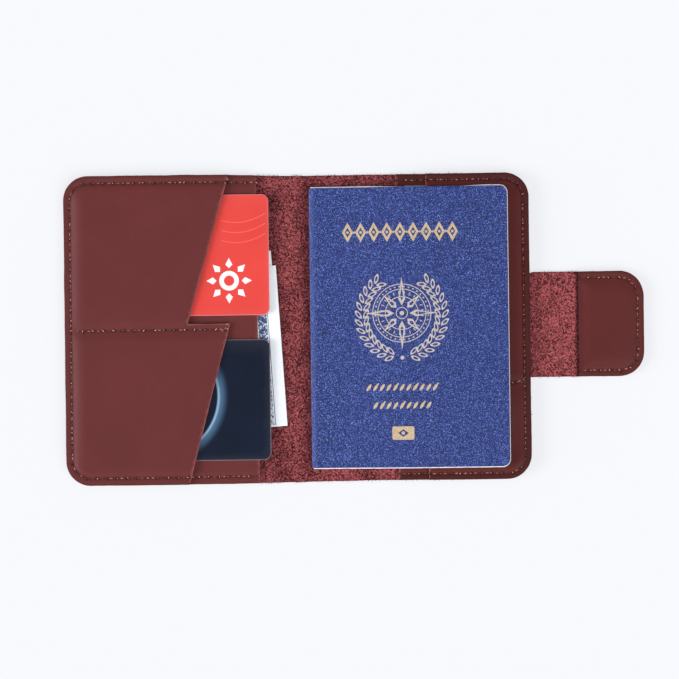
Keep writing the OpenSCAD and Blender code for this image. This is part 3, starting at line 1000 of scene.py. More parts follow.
def build_cover():
    outline = rough_cut(cover_outline(), (SPINE_MID, RIGHT))
    paths = [seam_path(s) for s in (SEAM_FRONT, SEAM_BACK, SEAM_TAB)]
    holes = needle_holes(SEAM_FRONT, SEAM_BACK, SEAM_TAB)

    def zone(x, y):
        spine = (x > NOTE_MOUTH - 3) & (x < PASSPORT_MOUTH + 3)
        strap = (x > RIGHT - 1) & (x < LINING_LEFT + 2)
        return np.where(spine | strap, 2, 0)

    sheet = Sheet(outline, coarse=3.2, fine_paths=paths, fine_zone=zone, fine_step=0.75,
                  holes=holes,
                  cuts=((SPINE_MID, -HALF_H, HALF_H), (RIGHT, -STRAP_HALF, STRAP_HALF),
                        (RISER_MID, -STRAP_HALF, STRAP_HALF)))

    def napped_top(x, y):
        shown = between(x, NOTE_MOUTH - 1, NOTE_MOUTH + 1, PASSPORT_MOUTH - 1, PASSPORT_MOUTH + 1)
        shown += between(x, RIGHT - 0.5, RIGHT + 0.5, LINING_LEFT - 1, LINING_LEFT + 0.5)
        nap = 0.10 * blob_noise(x, y, 1.7, 31) + 0.06 * blob_noise(x, y, 0.9, 32)
        nap += 0.08 * blob_noise(x, y, 8.0, 33)
        return COVER_T + (0.9 * nap - 0.20) * np.clip(shown, 0, 1)

    def painted_nap_shade(x, y):
        """Painted shade on the suede, with some uneven tone: darker over the spine, most along the
        booklet's edge, beside the front crease and at the tab lining's edge.
        """
        spine = between(x, NOTE_MOUTH - 2, NOTE_MOUTH + 2, PASSPORT_MOUTH, PASSPORT_MOUTH + 2)
        painted_light_amount = 0.8 + 0.9 * blob_noise(x, y, 7.0, 35)
        painted_light_amount += 1.6 * np.exp(-((x - BOOK_LOW[0] + 1.5) / 2.6) ** 2)
        painted_light_amount += 1.0 * np.exp(-((x - CREASE_FRONT + 3.0) / 4.0) ** 2)
        return np.maximum(spine * painted_light_amount, 0) + 6.5 * np.exp(-((x - LINING_LEFT + 0.55) / 0.6) ** 2)

    def grain_bottom(x, y):
        return 0.30 * pinch(x, y, paths) + 0.3 * prick(x, y, holes)

    looks = [SUEDE, EDGE, LEATHER_OUT]
    spans = (
        ("cover_leather_front", (-FAR, SPINE_MID), (SPINE_MID,), ("cover_front",)),
        ("cover_leather_back", (SPINE_MID, RIGHT), (SPINE_MID, RIGHT),
         ("cover_spine", "cover_back")),
        ("strap_leather_root", (RIGHT, RISER_MID), (RIGHT, RISER_MID), ("strap_riser",)),
        ("strap_leather_end", (RISER_MID, FAR), (RISER_MID,), ("strap_end",)),
    )
    made = []
    for name, keep, cut_x, nodes in spans:
        # the lie attribute carries the suede's painted shade
        obj = sheet.piece(name, napped_top, grain_bottom, looks, keep, cut_x, hand_made=True,
                          attributes={"lie": painted_nap_shade})
        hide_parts(*nodes)
        made.append(obj)
    bends = (
        ("front_cover", "spine", CREASE_FRONT - 0.6, CREASE_FRONT + 2.8),
        ("spine", "back_cover", CREASE_BACK - 2.2, CREASE_BACK + 2.2),
        ("back_cover", "riser", RIGHT, RIGHT + 3.6),
        ("riser", "strap_tab", TAB_CREASE - 2.0, TAB_CREASE + 2.0),
    )
    for obj, (a, b, x0, x1) in zip(made, bends):
        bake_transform(obj)


def left_painted_sheen(x, y):
    """Painted highlight on the ridge just inside the front cover's outer seam."""
    ridge = between(x - LEFT, 3.4, 4.6, 5.6, 8.8)
    uneven = 0.75 + 0.25 * blob_noise(x, y, 16, 8)
    return ridge * (1 - rise(np.abs(y), HALF_H - 14, HALF_H - 5)) * uneven


def right_painted_sheen(x, y):
    """Painted highlight on the side pocket below its seam."""
    return 0.45 * np.exp(-((x - RIGHT + 7.6) / 2.2) ** 2 - ((y + 44) / 11) ** 2)


def build_panels():
    h = HALF_H
    card_mouth = [(CARD_NEAR, -h), (CARD_FAR, MOUTH_STEP), (CARD_NEAR, MOUTH_STEP), (CARD_FAR, h)]
    note_mouth = [(NOTE_MOUTH, -h), (NOTE_MOUTH, h)]
    rows = (
        ("note_pocket_leather", left_outline(note_mouth),
         note_top, note_base, (SEAM_FRONT,), LEATHER_LEFT, "note_pocket", "front_cover"),
        ("card_pocket_leather", left_outline(card_mouth),
         card_top, card_base, (SEAM_FRONT, SEAM_CARDS), LEATHER_LEFT, "card_pocket", "front_cover"),
        ("passport_pocket_leather", right_outline(PASSPORT_MOUTH),
         passport_top, passport_base, (SEAM_BACK,), LEATHER_RIGHT, "passport_pocket", "back_cover"),
        ("side_pocket_leather", right_outline(SIDE_MOUTH),
         side_top, side_base, (SEAM_BACK, SEAM_SIDE), LEATHER_RIGHT, "side_pocket", "back_cover"),
        ("tab_lining_leather", lining_outline(),
         lining_top, lining_base, (SEAM_TAB,), LEATHER_TAB, "tab_lining", "strap_tab"),
    )
    # panels that get a painted highlight
    painted_sheens = {"card_pocket": left_painted_sheen, "side_pocket": right_painted_sheen}
    mouths = {
        "note_pocket": note_mouth,
        "card_pocket": card_mouth,
        "passport_pocket": [(PASSPORT_MOUTH, -h), (PASSPORT_MOUTH, h)],
        "side_pocket": [(SIDE_MOUTH, -h), (SIDE_MOUTH, h)],
    }
    for name, outline, top, bottom, seams, look, node, body in rows:
        paths = [seam_path(s) for s in seams]
        holes = needle_holes(*seams)
        sheet = Sheet(outline, fine_paths=paths, holes=holes)
        marks = {
            # seam: painted shade along the stitch groove
            "seam": lambda x, y, paths=paths: pinch(x, y, paths, 0.55),
            # outer: painted shade outside the back panels' seam
            "outer": lambda x, y, body=body: 1 - rise(edge_depth(x, y, 1), 2.0, 3.0)
            if body == "back_cover" else np.zeros(len(x)),
        }
        if node in mouths:
            marks["mouth"] = mouth_edge_and_highlight(mouths[node])
        if node in painted_sheens:
            marks["painted_sheen"] = painted_sheens[node]
        obj = sheet.piece(name, sewn(top, paths, holes), bottom, [look, EDGE, SUEDE],
                          attributes=marks, hand_made=True)
        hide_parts(node)
        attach(obj, body)


# ---- stitches

SIDES = 6                       # of a thread's round section
PLY_RINGS = 11                  # sections along one stitch
CREST_HIGHLIGHTS = (0.15, 0.5, 0.85)      # how strong a stitch crest's painted highlight may be
KNOT_HIGHLIGHTS = (0.3, 0.7, 1.0)         # how strong the painted highlight on the loop at a needle hole may be
PLY_R, PLY_TWIST = 0.17, 2.8    # radius of a ply, and its turn over half a stitch
PLY_OFF = 0.12                  # from the stitch's middle to a ply's
KNOT_R = 0.18
UNDER_STITCH, UNDER_KNOT = 0.42, 0.36  # heights of both on the outside of the cover
NO_HOLES = np.zeros((0, 2))


def strand(path, radius, sides=SIDES):
    """A closed tube along a path, as vertices and faces."""
    path = np.asarray(path, float)
    ahead = unit(np.gradient(path, axis=0))
    side = unit(np.cross(ahead, (0.0, 0.0, 1.0)))
    up = np.cross(side, ahead)
    turn = np.radians(np.arange(sides) * 360 / sides)
    size = np.full(len(path), radius) if np.isscalar(radius) else radius
    section = (np.cos(turn)[None, :, None] * side[:, None]
               + np.sin(turn)[None, :, None] * up[:, None])
    rings = path[:, None] + size[:, None, None] * section
    faces = []
    for k in range(len(path) - 1):
        for i in range(sides):
            j = (i + 1) % sides
            faces.append((k * sides + i, k * sides + j, (k + 1) * sides + j, (k + 1) * sides + i))
    last = (len(path) - 1) * sides
    faces.append(tuple(range(sides))[::-1])
    faces.append(tuple(last + i for i in range(sides)))
    return rings.reshape(-1, 3), faces


def gather(parts):
    """One vertex list and face list from many."""
    verts, faces, base = [], [], 0
    for v, f in parts:
        verts.append(v)
        faces += [tuple(i + base for i in face) for face in f]
        base += len(v)
    return np.concatenate(verts), faces


def stitch_parts(x, y, turn, z, side, rng):
    """Two twisted plies that rise out of one hole and dive into the next."""
    t = np.linspace(-1, 1, PLY_RINGS)
    heading = turn + rng.uniform(-0.04, 0.04)
    half = PITCH * rng.uniform(0.45, 0.48)
    crest = 0.02 + rng.uniform(-0.03, 0.03) - 0.62 * np.abs(t) ** 6
    parts = []
    for ply in (0, math.pi):
        phase = t * PLY_TWIST + ply + rng.uniform(0, 6.28)
        across = PLY_OFF * np.cos(phase)
        high = z + side * (crest + PLY_OFF * np.sin(phase))
        px = x + t * half * math.cos(heading) - across * math.sin(heading)
        py = y + t * half * math.sin(heading) + across * math.cos(heading)
        size = PLY_R * np.sqrt(np.clip(1.06 - np.abs(t) ** 8, 0.1, 1))
        parts.append(strand(np.stack([px, py, high], 1), size))
    return parts


def glint(rng):
    """How much painted highlight each vertex of both plies gets: a stitch's crest catches light."""
    t = np.linspace(-1, 1, PLY_RINGS)
    crest = np.exp(-((t - rng.uniform(-0.18, 0.18)) / 0.24) ** 2)
    return np.tile((rng.choice(CREST_HIGHLIGHTS) * crest).repeat(SIDES), 2)


def knot_part(x, y, turn, z, side, rng, bold):
    """The short loop at one side of a needle hole, paled by a painted highlight; bold makes it
    longer and thicker.
    """
    t = np.linspace(-1, 1, 7)
    heading = turn + rng.choice((-1, 1)) * rng.uniform(0.5, 1.3)
    off = rng.choice((-1, 1)) * rng.uniform(0.20, 0.34)
    cx = x + PITCH / 2 * math.cos(turn) + off * math.cos(turn) + rng.uniform(-0.1, 0.1)
    cy = y + PITCH / 2 * math.sin(turn) + off * math.sin(turn) + rng.uniform(-0.1, 0.1)
    half = rng.uniform(0.32, 0.55) * bold
    path = np.stack([cx + t * half * math.cos(heading), cy + t * half * math.sin(heading),
                     z + side * (0.16 - 0.22 * t ** 2)], 1)
    return strand(path, KNOT_R * bold * np.sqrt(1.04 - t ** 6))


def build_stitches():
    on_note, on_cards, on_passport, on_side, on_tab = (
        sewn(top, [seam_path(s) for s in seams], NO_HOLES) for top, seams in (
            (note_top, [SEAM_FRONT]), (card_top, [SEAM_FRONT, SEAM_CARDS]),
            (passport_top, [SEAM_BACK]), (side_top, [SEAM_BACK, SEAM_SIDE]),
            (lining_top, [SEAM_TAB])))

    def front_surface(x, y):
        slope = CARD_NEAR + (CARD_FAR - CARD_NEAR) * np.where(y > 0, 1.0, 0.05)
        return np.where(x < slope, on_cards(x, y), on_note(x, y))

    def back_surface(x, y):
        return np.where(x > SIDE_MOUTH, on_side(x, y), on_passport(x, y))

    rows = (
        ("thread_front", SEAM_FRONT, front_surface, True, 1.0, "seam_front", "front_cover"),
        ("thread_cards", SEAM_CARDS, on_cards, False, 1.3, "seam_front_divider", "front_cover"),
        ("thread_back", SEAM_BACK, back_surface, True, 1.0, "seam_back", "back_cover"),
        ("thread_side", SEAM_SIDE, on_side, False, 1.3, "seam_back_divider", "back_cover"),
        ("thread_tab", SEAM_TAB, on_tab, True, 1.0, "seam_tab", "strap_tab"),
    )
    tacks = {
        "thread_front": [(CARD_FAR - 1.5, HALF_H - SEAM_INSET - 0.8, 0.9)],
        "thread_cards": [(CARD_FAR - 3.2, -0.5, 0.35), (CARD_FAR - 2.2, 0.4, 1.2)],
        "thread_side": [(RIGHT - 5.2, SIDE_DIVIDER + 0.6, 0.3)],
    }
    for k, (name, stitches, surface, through, bold, node, body) in enumerate(rows):
        rng = np.random.default_rng(50 + k)
        stitches = stitches + tacks.get(name, [])
        spots = np.array(stitches)
        heights = surface(spots[:, 0], spots[:, 1])
        parts, knots = [], []
        for (x, y, turn), z in zip(stitches, heights):
            parts += stitch_parts(x, y, turn, z, 1, rng)
            knots.append(knot_part(x, y, turn, z, 1, rng, bold))
            if through:
                parts += stitch_parts(x, y, turn, UNDER_STITCH, -1, rng)
                knots.append(knot_part(x, y, turn, UNDER_KNOT, -1, rng, bold))
        verts, faces = gather(parts + knots)
        # pale: painted highlights on the loops and on the stitches' crests
        shine = np.random.default_rng(k)
        pale = [shine.choice(KNOT_HIGHLIGHTS, len(knots)).repeat(len(knots[0][0]))]
        pale = np.concatenate([glint(shine) for _ in range(len(parts) // 2)] + pale)
        obj = make_object(name, hand_cut(verts), faces, [THREAD], attributes={"thread_highlight": pale})
        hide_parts(node)
        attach(obj, body)


# ---- loose fibres

FIBRE_TOP = COVER_T + 0.03      # loose nap fibres stay below whatever slides over them


def build_fibres():
    """Short fibres that stand out of the cut edges and lie on the suede."""
    rng = np.random.default_rng(77)
    spans = (
        ("fibres_front", "front_cover", NOTE_MOUTH, CREASE_FRONT - 2.3, HALF_H, 150),
        ("fibres_spine", "spine", CREASE_FRONT + 2.9, CREASE_BACK - 2.3, HALF_H, 90),
        ("fibres_back", "back_cover", CREASE_BACK + 2.3, PASSPORT_MOUTH, HALF_H, 420),
        ("fibres_strap", "riser", RIGHT + 4, TAB_CREASE - 2.1, STRAP_HALF, 60),
        ("fibres_strap_end", "strap_tab", TAB_CREASE + 2.1, LINING_LEFT, STRAP_HALF, 40),
    )
    strays = (
        (27.5, HALF_H, 1.7, 1.5),
        (35.2, HALF_H, 1.3, 1.1),
        (42.8, HALF_H, 1.6, 1.7),
        (RIGHT, -32.6, 0.9, 1.2),
        (RIGHT, -39.9, -0.2, 1.1),
    )
    for name, body, x0, x1, half, count in spans:
        parts = []
        reach = x1 + 30 if body == "back_cover" else x1
        for _ in range(count):
            way = rng.choice((-1, 1))
            start = np.array([rng.uniform(x0, reach), way * (half - 0.15),
                              rng.uniform(0.2, COVER_T - 0.1)])
            out = np.array([rng.uniform(-0.7, 0.7), way * rng.uniform(0.4, 1.0),
                            rng.uniform(-0.1, 0.5)])
            parts.append(fibre(start, out, rng.uniform(0.35, 1.1) ** 1.5, rng))
        for _ in range(int((x1 - x0) * half * 1.1)):
            start = np.array([rng.uniform(x0, x1), rng.uniform(-half + 0.5, half - 0.5),
                              COVER_T - 0.22])
            out = np.array([rng.uniform(-1, 1), rng.uniform(-1, 1), rng.uniform(0.15, 0.45)])
            parts.append(fibre(start, out, rng.uniform(0.5, 1.1), rng, FIBRE_TOP))
        if body == "back_cover":
            for x, y, turn, length in strays:
                start = np.array([x - 0.2 * math.cos(turn), y - 0.2 * math.sin(turn), 1.6])
                out = np.array([math.cos(turn), math.sin(turn), 0.1])
                parts.append(fibre(start, out, length, rng, 2.0, 2.2))
        verts, faces = gather(parts)
        obj = make_object(name, hand_cut(verts), faces, [SUEDE])
        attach(obj, body)


def fibre(start, out, length, rng, ceiling=3.0, girth=1.0):
    """One bent, tapering fibre that stays below the ceiling."""
    out = out / np.linalg.norm(out) * length
    bend = rng.uniform(-0.25, 0.25, 3) * length
    bend[2] = -abs(bend[2]) * 0.5
    t = np.linspace(0, 1, 4)[:, None]
    path = start + out * t + bend * t * t
    path[:, 2] = np.clip(path[:, 2], 0.1, ceiling - 0.055)
    return strand(path, girth * np.array([0.055, 0.05, 0.04, 0.015]), 3)


# ---- cards and papers

def flat(z):
    return lambda x, y: np.full(len(x), float(z))


def card(name, node, body, look, edge_look):
    low, high = cad_box(node)
    sheet = Sheet(round_rect(low[0], low[1], high[0], high[1], (3.2,) * 4), coarse=9.0,
                  bevel=(0.04, 0.1, 0.28, 0.55))
    obj = sheet.piece(name, flat(high[2]), flat(low[2]), [look, edge_look, look], bevel_drop=0.08,
                      rows=3, wall_wave=0.0, rim_width=0.16)
    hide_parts(node)
    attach(obj, body)
    return low, high


def decal(name, shapes, z, look, body, surface=None, thickness=0.03):
    """Thin printed or stamped shapes: each outline becomes a closed plate on its surface.
    A shape is an outline, or an outline and the hole in it."""
    parts = []
    for shape in shapes:
        outer, inner = shape if isinstance(shape, tuple) else (shape, None)
        loops = [np.asarray(loop, float) for loop in (outer, inner) if loop is not None]
        plan, tris, _ = triangulated(np.concatenate(loops), loop_edges(loops), 1e-5)
        middle = plan[tris].mean(1)
        kept = is_inside(middle, loops[0])
        if inner is not None:
            kept &= ~is_inside(middle, loops[1])
        tris = tris[kept]
        n = len(plan)
        level = z if surface is None else surface(plan[:, 0], plan[:, 1])
        top = np.column_stack([plan, np.full(n, 1.0) * level + thickness])
        under = np.column_stack([plan, np.full(n, 1.0) * level - 0.01])
        faces = [tuple(t) for t in tris] + [tuple(t[::-1] + n) for t in tris]
        faces += [(b, a, a + n, b + n) for a, b in open_edges(tris)]
        parts.append((np.concatenate([top, under]), faces))
    obj = make_object(name, *gather(parts), [look], smooth_faces=False)
    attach(obj, body)


def disc(cx, cy, r, n=20):
    turn = np.linspace(0, 2 * math.pi, n, endpoint=False)
    return np.stack([np.cos(turn), np.sin(turn)], 1) * r + (cx, cy)


def ring(cx, cy, r0, r1, n=72):
    return disc(cx, cy, r1, n), disc(cx, cy, r0, n)


def turned(points, turn, cx, cy):
    """Points turned about the origin, then moved to a place."""
    c, s = math.cos(turn), math.sin(turn)
    return points @ np.array([(c, s), (-s, c)]) + (cx, cy)


def kite(cx, cy, length, width, turn, share=0.5):
    """A four-sided leaf along a heading, widest at share of its length."""
    wide = length * share
    points = np.array([(0, 0), (wide, -width / 2), (length, 0), (wide, width / 2)])
    return turned(points, turn, cx, cy)


def leaf(cx, cy, length, width, turn):
    """A pointed oval."""
    t = np.linspace(0, math.pi, 9)
    upper = np.stack([(1 - np.cos(t)) / 2 * length, np.sin(t) ** 1.3 * width / 2], 1)
    lower = upper[-2:0:-1] * (1, -1)
    return turned(np.concatenate([upper, lower])[::-1], turn, cx, cy)


def band(points, width):
    """A ribbon of even width along a polyline."""
    points = np.asarray(points, float)
    side = left_of(unit(np.gradient(points, axis=0))) * width / 2
    return np.concatenate([points - side, (points + side)[::-1]])


def build_cards():
    red = plastic("card_red", (0.80, 0.060, 0.048))
    navy = plastic("card_navy", (0.0035, 0.0085, 0.024), (0.0055, 0.0115, 0.033), 0.26, 0.25)
    green = plastic("card_green", srgb(96, 168, 140))
    white_edge = plastic("card_edge", srgb(214, 206, 206), roughness=0.5)
    low, high = card("card_upper_body", "card_upper", "upper_card", red, white_edge)
    cx, cy, z = high[0] - 17.9, (low[1] + high[1]) / 2 - 11.5, high[2]
    rays = [kite(cx + 5.6 * math.cos(a), cy + 5.6 * math.sin(a), 4.6, 3.2, a, 0.35)
            for a in np.radians(np.arange(0, 360, 45))]
    white = ink("ink_white", srgb(250, 246, 246))
    decal("card_upper_figure", [ring(cx, cy, 2.3, 4.4)] + rays, z, white, "upper_card",
          thickness=0.01)
    pale = ink("ink_pale_red", srgb(250, 104, 92))
    sweep = []
    for k in range(3):
        t = np.linspace(0, 1, 24)
        line = np.stack([high[0] - 21 + 19.5 * t, cy + 18 + 4.5 * k + 9 * t ** 2 - 6 * t], 1)
        sweep.append(band(line, 0.35))
    decal("card_upper_lines", sweep, z, pale, "upper_card", thickness=0.006)

    low, high = card("card_lower_body", "card_lower", "lower_card", navy, white_edge)
    cx, cy, radius, reach = high[0] - 49.8, (low[1] + high[1]) / 2 + 2.0, 26.2, 5.2
    turn = np.radians(np.linspace(-74, 74, 70))
    shape = np.concatenate([np.stack([cx + r * np.cos(turn), cy + r * np.sin(turn)], 1)[::way]
                            for r, way in ((radius + reach, 1), (radius - 0.6, -1))])
    shape[:, 1] = np.clip(shape[:, 1], low[1] + 0.3, high[1] - 0.3)
    arc_ink = glow_ring("ink_arc", (cx, cy), radius, reach)
    decal("card_lower_arc", [shape], high[2], arc_ink, "lower_card", thickness=0.01)
    card("card_side_body", "card_side", "side_card", green, white_edge)


PAPER_DROP = 0.04               # mean room between a paper's wavy face and its CAD top


def tilted(corner, tilt, points):
    """Points turned by a tilt in degrees about the origin, then moved to a corner."""
    c, s = math.cos(math.radians(tilt)), math.sin(math.radians(tilt))
    return [(corner[0] + x * c - y * s, corner[1] + x * s + y * c) for x, y in points]


def leaf_of_paper(width, height):
    return [(-width, 0), (0, 0), (0, height), (-width, height)]


def build_papers():
    # glow=0.06: painted light that lifts the note and slip out of the card's shade
    plain = paper("note_paper", srgb(244, 249, 255), glow=0.06)
    printed = engraving("note_print", srgb(228, 236, 248), srgb(64, 80, 118))
    corner, tilt = (CREASE_FRONT + 0.30, -43.5), 3.5
    slip_corner, slip_tilt = (CREASE_FRONT - 1.75, -22.8), 4.5
    low, high = cad_box("banknote")
    slip_low, slip_high = cad_box("paper_slip")

    def lift(x, y):
        return 0.04 * blob_noise(x, y, 14.0, 61)

    note = tilted(corner, tilt, leaf_of_paper(67.2, 72))
    slip = tilted(slip_corner, slip_tilt, leaf_of_paper(52, 58))

    for name, node, shape, z0, z1, body in (
        ("banknote_leaves", "banknote", note, low[2], high[2], "note"),
        ("paper_slip_sheet", "paper_slip", slip, slip_low[2], slip_high[2], "slip"),
    ):
        sheet = Sheet(divided(shape, 1.5), coarse=4.0, bevel=(0.1,))
        obj = sheet.piece(name, lambda x, y, z=z1: z + lift(x, y) - PAPER_DROP, flat(z0),
                          [plain] * 3, bevel_drop=0.02, wall_wave=0.02)
        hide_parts(node)
        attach(obj, body)

    def on_note(x, y):
        return high[2] - PAPER_DROP + lift(x, y)

    def strip(x0, x1):
        points = [(x0, 0.6), (x1, 0.6), (x1, 71.4), (x0, 71.4)]
        return divided(tilted(corner, tilt, points), 2.0)

    strips = [strip(-58, -11.1), strip(-9.8, -5.7)]
    decal("banknote_print", strips, 0, printed, "note", on_note, 0.012)
    slate = ink("ink_slate", srgb(70, 82, 104))
    decal("banknote_rule", [strip(-5.4, -5.1)], 0, slate, "note", on_note, 0.014)


# ---- passport booklet

def climb(x):
    """How far the front board and the pages rise from the spine over the side pocket's edge."""
    return BOOK_CLIMB * smooth((x - BOOK_LOW[0]) / BOOK_CLIMB_L)


def build_booklet():
    cover = booklet_cover("booklet_navy", (0.0135, 0.034, 0.207))
    core = paper("booklet_core", srgb(206, 206, 222))
    leaves = paper("booklet_leaves", srgb(240, 242, 250), leaves=14)
    page = wave_print("booklet_page", srgb(228, 226, 232), srgb(176, 190, 206))
    endpaper = wave_print("booklet_endpaper", srgb(206, 214, 226), srgb(120, 146, 182))
    x0, x1, half = BOOK_LOW[0], BOOK_HIGH[0], BOOK_HIGH[1]
    shape = round_rect(x0, -half, x1, half, (0, 3.4, 3.4, 0), 0.9)

    board = Sheet(shape, coarse=4.5, bevel=(0.08, 0.2))
    z0 = BOOK_LOW[2]
    obj = board.piece("booklet_back_board", flat(z0 + BOARD_T), flat(z0), [endpaper, core, cover],
                      bevel_drop=0.12, wall_wave=0.0)
    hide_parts("passport_cover_back")
    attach(obj, "booklet")

    zc, rz = (z0 + FRONT_LOW[2]) / 2, (FRONT_LOW[2] - z0) / 2
    ys = np.linspace(-half + 0.05, half - 0.05, 60)
    loop = []
    for dx, rx, r, way in ((0.45, 0.75, rz, 1), (0.60, 0.40, rz - 0.15, -1)):
        loop += [(x0 + dx - rx * math.cos(math.radians(a)), zc + r * math.sin(math.radians(a)))
                 for a in np.linspace(-90, 90, 11)[::way]]
    verts = [(px, y, pz) for y in ys for px, pz in loop]
    m = len(loop)
    faces = [(k * m + i, (k + 1) * m + i, (k + 1) * m + (i + 1) % m, k * m + (i + 1) % m)
             for k in range(len(ys) - 1) for i in range(m)]
    faces += [tuple(range(m)), tuple(((len(ys) - 1) * m + i for i in range(m - 1, -1, -1)))]
    spine = make_object("booklet_spine", verts, faces, [cover])
    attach(spine, "booklet")

    leaves_shape = round_rect(PAGES_LOW[0], -half - 0.42, x1 + 0.34, half + 0.48,
                              (0, 3.6, 3.6, 0), 0.9)
    px, py = leaves_shape[:, 0], leaves_shape[:, 1]
    tuck = rise(px, x0 + 24, x0 + 46) - rise(px, x1 - 24, x1 - 8)
    py -= np.where(py > 0, 0.50 * tuck, 0)
    block = Sheet(leaves_shape, coarse=3.0, bevel=(0.06,))
    pz = PAGES_LOW[2]
    thick = PAGES_HIGH[2] - PAGES_LOW[2] - BOOK_CLIMB
    obj = block.piece("booklet_pages", lambda x, y: pz + thick + climb(x),
                      lambda x, y: pz + climb(x), [page, leaves, page],
                      bevel_drop=0.05, rows=8, wall_wave=0.05)
    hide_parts("passport_pages")
    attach(obj, "booklet")

    front = Sheet(shape, coarse=2.6, bevel=(0.1, 0.28))
    fz = FRONT_LOW[2]

    def front_top(x, y):
        hinge = 0.12 * np.exp(-((x - x0 - 2.6) / 0.7) ** 2)
        return fz + BOARD_T + climb(x) - hinge - 0.25 * (1 - rise(x - x0, -0.2, 0.8))

    obj = front.piece("booklet_front_cover", front_top, lambda x, y: fz + climb(x),
                      [cover, core, endpaper], bevel_drop=0.16, wall_wave=0.02,
                      # painted highlight along the hinge ridge
                      attributes={"painted_light_amount": lambda x, y: np.exp(-((x - x0 - 1.0) / 0.8) ** 2)})
    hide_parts("passport_cover_front")
    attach(obj, "booklet_front")
    build_foil(front_top, (x0 + x1) / 2 - 3.4)


def hollow(shape, share=0.6):
    """The outline as a line: the shape with a smaller copy of itself cut out."""
    middle = shape.mean(0)
    return (shape, middle + (shape - middle) * share)


def build_foil(surface, cx):
    """Gold ornament in place of the title, arms and lines: a compass rose in a wreath."""
    gold = foil("gold_foil", srgb(236, 210, 172))
    pale = foil("pale_gold_foil", srgb(228, 216, 208))

    def stamp(name, shapes, look):
        decal(name, shapes, 0, look, "booklet_front", surface)

    title = []
    for k in range(9):
        x, y = cx - 0.4 + 5.83 * (k - 4), 42.4
        title += [hollow(kite(x - 2.5, y, 5.0, 8.8, 0.0), 0.5), disc(x, y, 0.62, 12)]
        if k < 8:
            title.append(disc(x + 2.915, y, 0.5, 12))
    stamp("foil_title", title, gold)

    cy, grow = 6.2, 1.17
    rose = [ring(cx, cy, r * grow, r * grow + 0.36, n)
            for r, n in ((9.0, 90), (10.9, 90), (2.0, 40), (6.1, 60))]
    for k in range(8):
        a = math.radians(45 * k)
        length = (11.0 if k % 2 == 0 else 6.9) * grow
        start = (cx + 2.9 * grow * math.cos(a), cy + 2.9 * grow * math.sin(a))
        rose.append(hollow(kite(*start, length, 2.6 * grow, a, 0.22), 0.5))
    for k in range(36):
        a = math.radians(10 * k + 5)
        rose.append(disc(cx + 10.1 * grow * math.cos(a), cy + 10.1 * grow * math.sin(a), 0.36, 8))
    for k in range(24):
        a = math.radians(15 * k + 7.5)
        rose.append(kite(cx + 7.0 * grow * math.cos(a), cy + 7.0 * grow * math.sin(a),
                         1.7 * grow, 0.5, a))
    rose.append(disc(cx, cy, 1.0, 16))
    stamp("foil_rose", rose, pale)

    wreath = [disc(cx, cy - 19.8, 0.9, 14)]
    for side in (-1, 1):
        for k in range(13):
            a = math.radians(-78 + 10.6 * k)
            along = math.atan2(math.cos(a), -side * math.sin(a))
            for lean, off in ((-0.62, -0.35), (0.62, 0.35)):
                bx = cx + side * 15.0 * grow * math.cos(a) - off * math.sin(along)
                by = cy - 1.0 + 15.6 * grow * math.sin(a) + off * math.cos(along)
                wreath.append(hollow(leaf(bx, by, 4.7, 1.9, along + lean), 0.55))
    stamp("foil_wreath", wreath, pale)

    lines = []
    for y, count in ((-27.0, 11), (-35.0, 9)):
        for k in range(count):
            x = cx + (k - (count - 1) / 2) * 2.95
            lines.append(leaf(x - 1.3, y - 1.4, 3.7, 1.3, 0.98))
            if k % 3 == 1:
                lines.append(disc(x + 0.9, y + 1.7, 0.4, 8))
    stamp("foil_lines", lines, gold)
    x, y = cx, -47.2
    plate = (round_rect(x - 4.9, y - 3.0, x + 4.9, y + 3.0, (0.8,) * 4, 1.2),
             kite(x - 2.4, y, 4.8, 3.4, 0.0))
    stamp("foil_plate", [plate, disc(x, y, 0.8, 14)], gold)


# ---- floor, light, camera

FLOOR_HALF, FLOOR_Z = 40, -0.0002
SENSOR = 36.0                   # millimetres
VIEW_HEIGHT, VIEW_WIDTH = 0.90, 0.30468
VIEW_CENTRE, VIEW_TURN = (-0.0068, -0.0052), -0.74


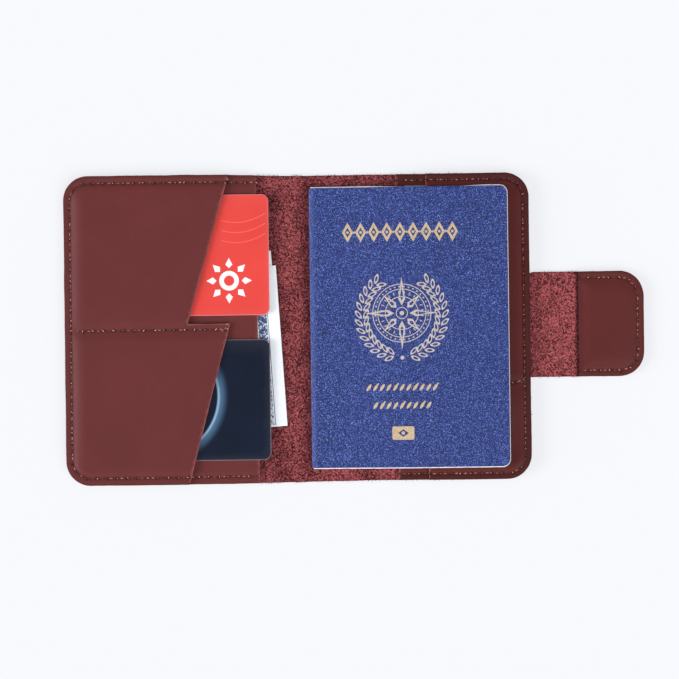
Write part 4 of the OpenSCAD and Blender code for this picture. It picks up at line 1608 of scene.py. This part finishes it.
def build_stage():
    floor_mesh = bpy.data.meshes.new("floor")
    corners = ((-1, -1), (1, -1), (1, 1), (-1, 1))
    floor_mesh.from_pydata([(x * FLOOR_HALF, y * FLOOR_HALF, FLOOR_Z) for x, y in corners],
                           [], [(0, 1, 2, 3)])
    floor = bpy.data.objects.new("floor", floor_mesh)
    bpy.context.scene.collection.objects.link(floor)
    s = Shader("floor_paper", Roughness=0.9, Specular_IOR_Level=0.0, Emission_Strength=1.0)
    s.surface.inputs["Base Color"].default_value = (0.22, 0.22, 0.225, 1)
    s.surface.inputs["Emission Color"].default_value = (0.700, 0.707, 0.738, 1)
    floor_mesh.materials.append(s.material)

    world = bpy.data.worlds.new("studio")
    world.use_nodes = True
    sky = world.node_tree.nodes["Background"]
    sky.inputs["Color"].default_value = (0.97, 0.98, 1.0, 1)
    sky.inputs["Strength"].default_value = 0.42
    bpy.context.scene.world = world

    for name, toward, angle, strength in (
        ("left_box", (-0.90, -0.15, 0.40), 35, 2.75),
        ("right_box", (0.60, -0.70, 0.85), 55, 1.62),
    ):
        light = bpy.data.lights.new(name, "SUN")
        light.angle = math.radians(angle)
        light.energy = strength
        obj = bpy.data.objects.new(name, light)
        obj.rotation_mode = "QUATERNION"
        obj.rotation_quaternion = (-Vector(toward)).to_track_quat("-Z", "Y")
        bpy.context.scene.collection.objects.link(obj)


def build_camera():
    """Straight above, framed and turned as the photograph is."""
    data = bpy.data.cameras.new("camera")
    data.sensor_width = SENSOR
    data.lens = SENSOR * VIEW_HEIGHT / VIEW_WIDTH
    cam = bpy.data.objects.new("camera", data)
    cam.location = (*VIEW_CENTRE, VIEW_HEIGHT)
    cam.rotation_euler = (0, 0, math.radians(VIEW_TURN))
    bpy.context.scene.collection.objects.link(cam)
    bpy.context.scene.camera = cam
    bpy.context.scene.view_settings.view_transform = "Standard"


build_stage()
build_camera()
build_cover()
build_panels()
build_stitches()
build_fibres()
build_cards()
build_papers()
build_booklet()

METAL = bare_metal("bare_metal", (0.66, 0.66, 0.68))
for hidden in ("tab_magnet", "keeper_disc"):
    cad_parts[hidden].data.materials.clear()
    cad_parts[hidden].data.materials.append(METAL)
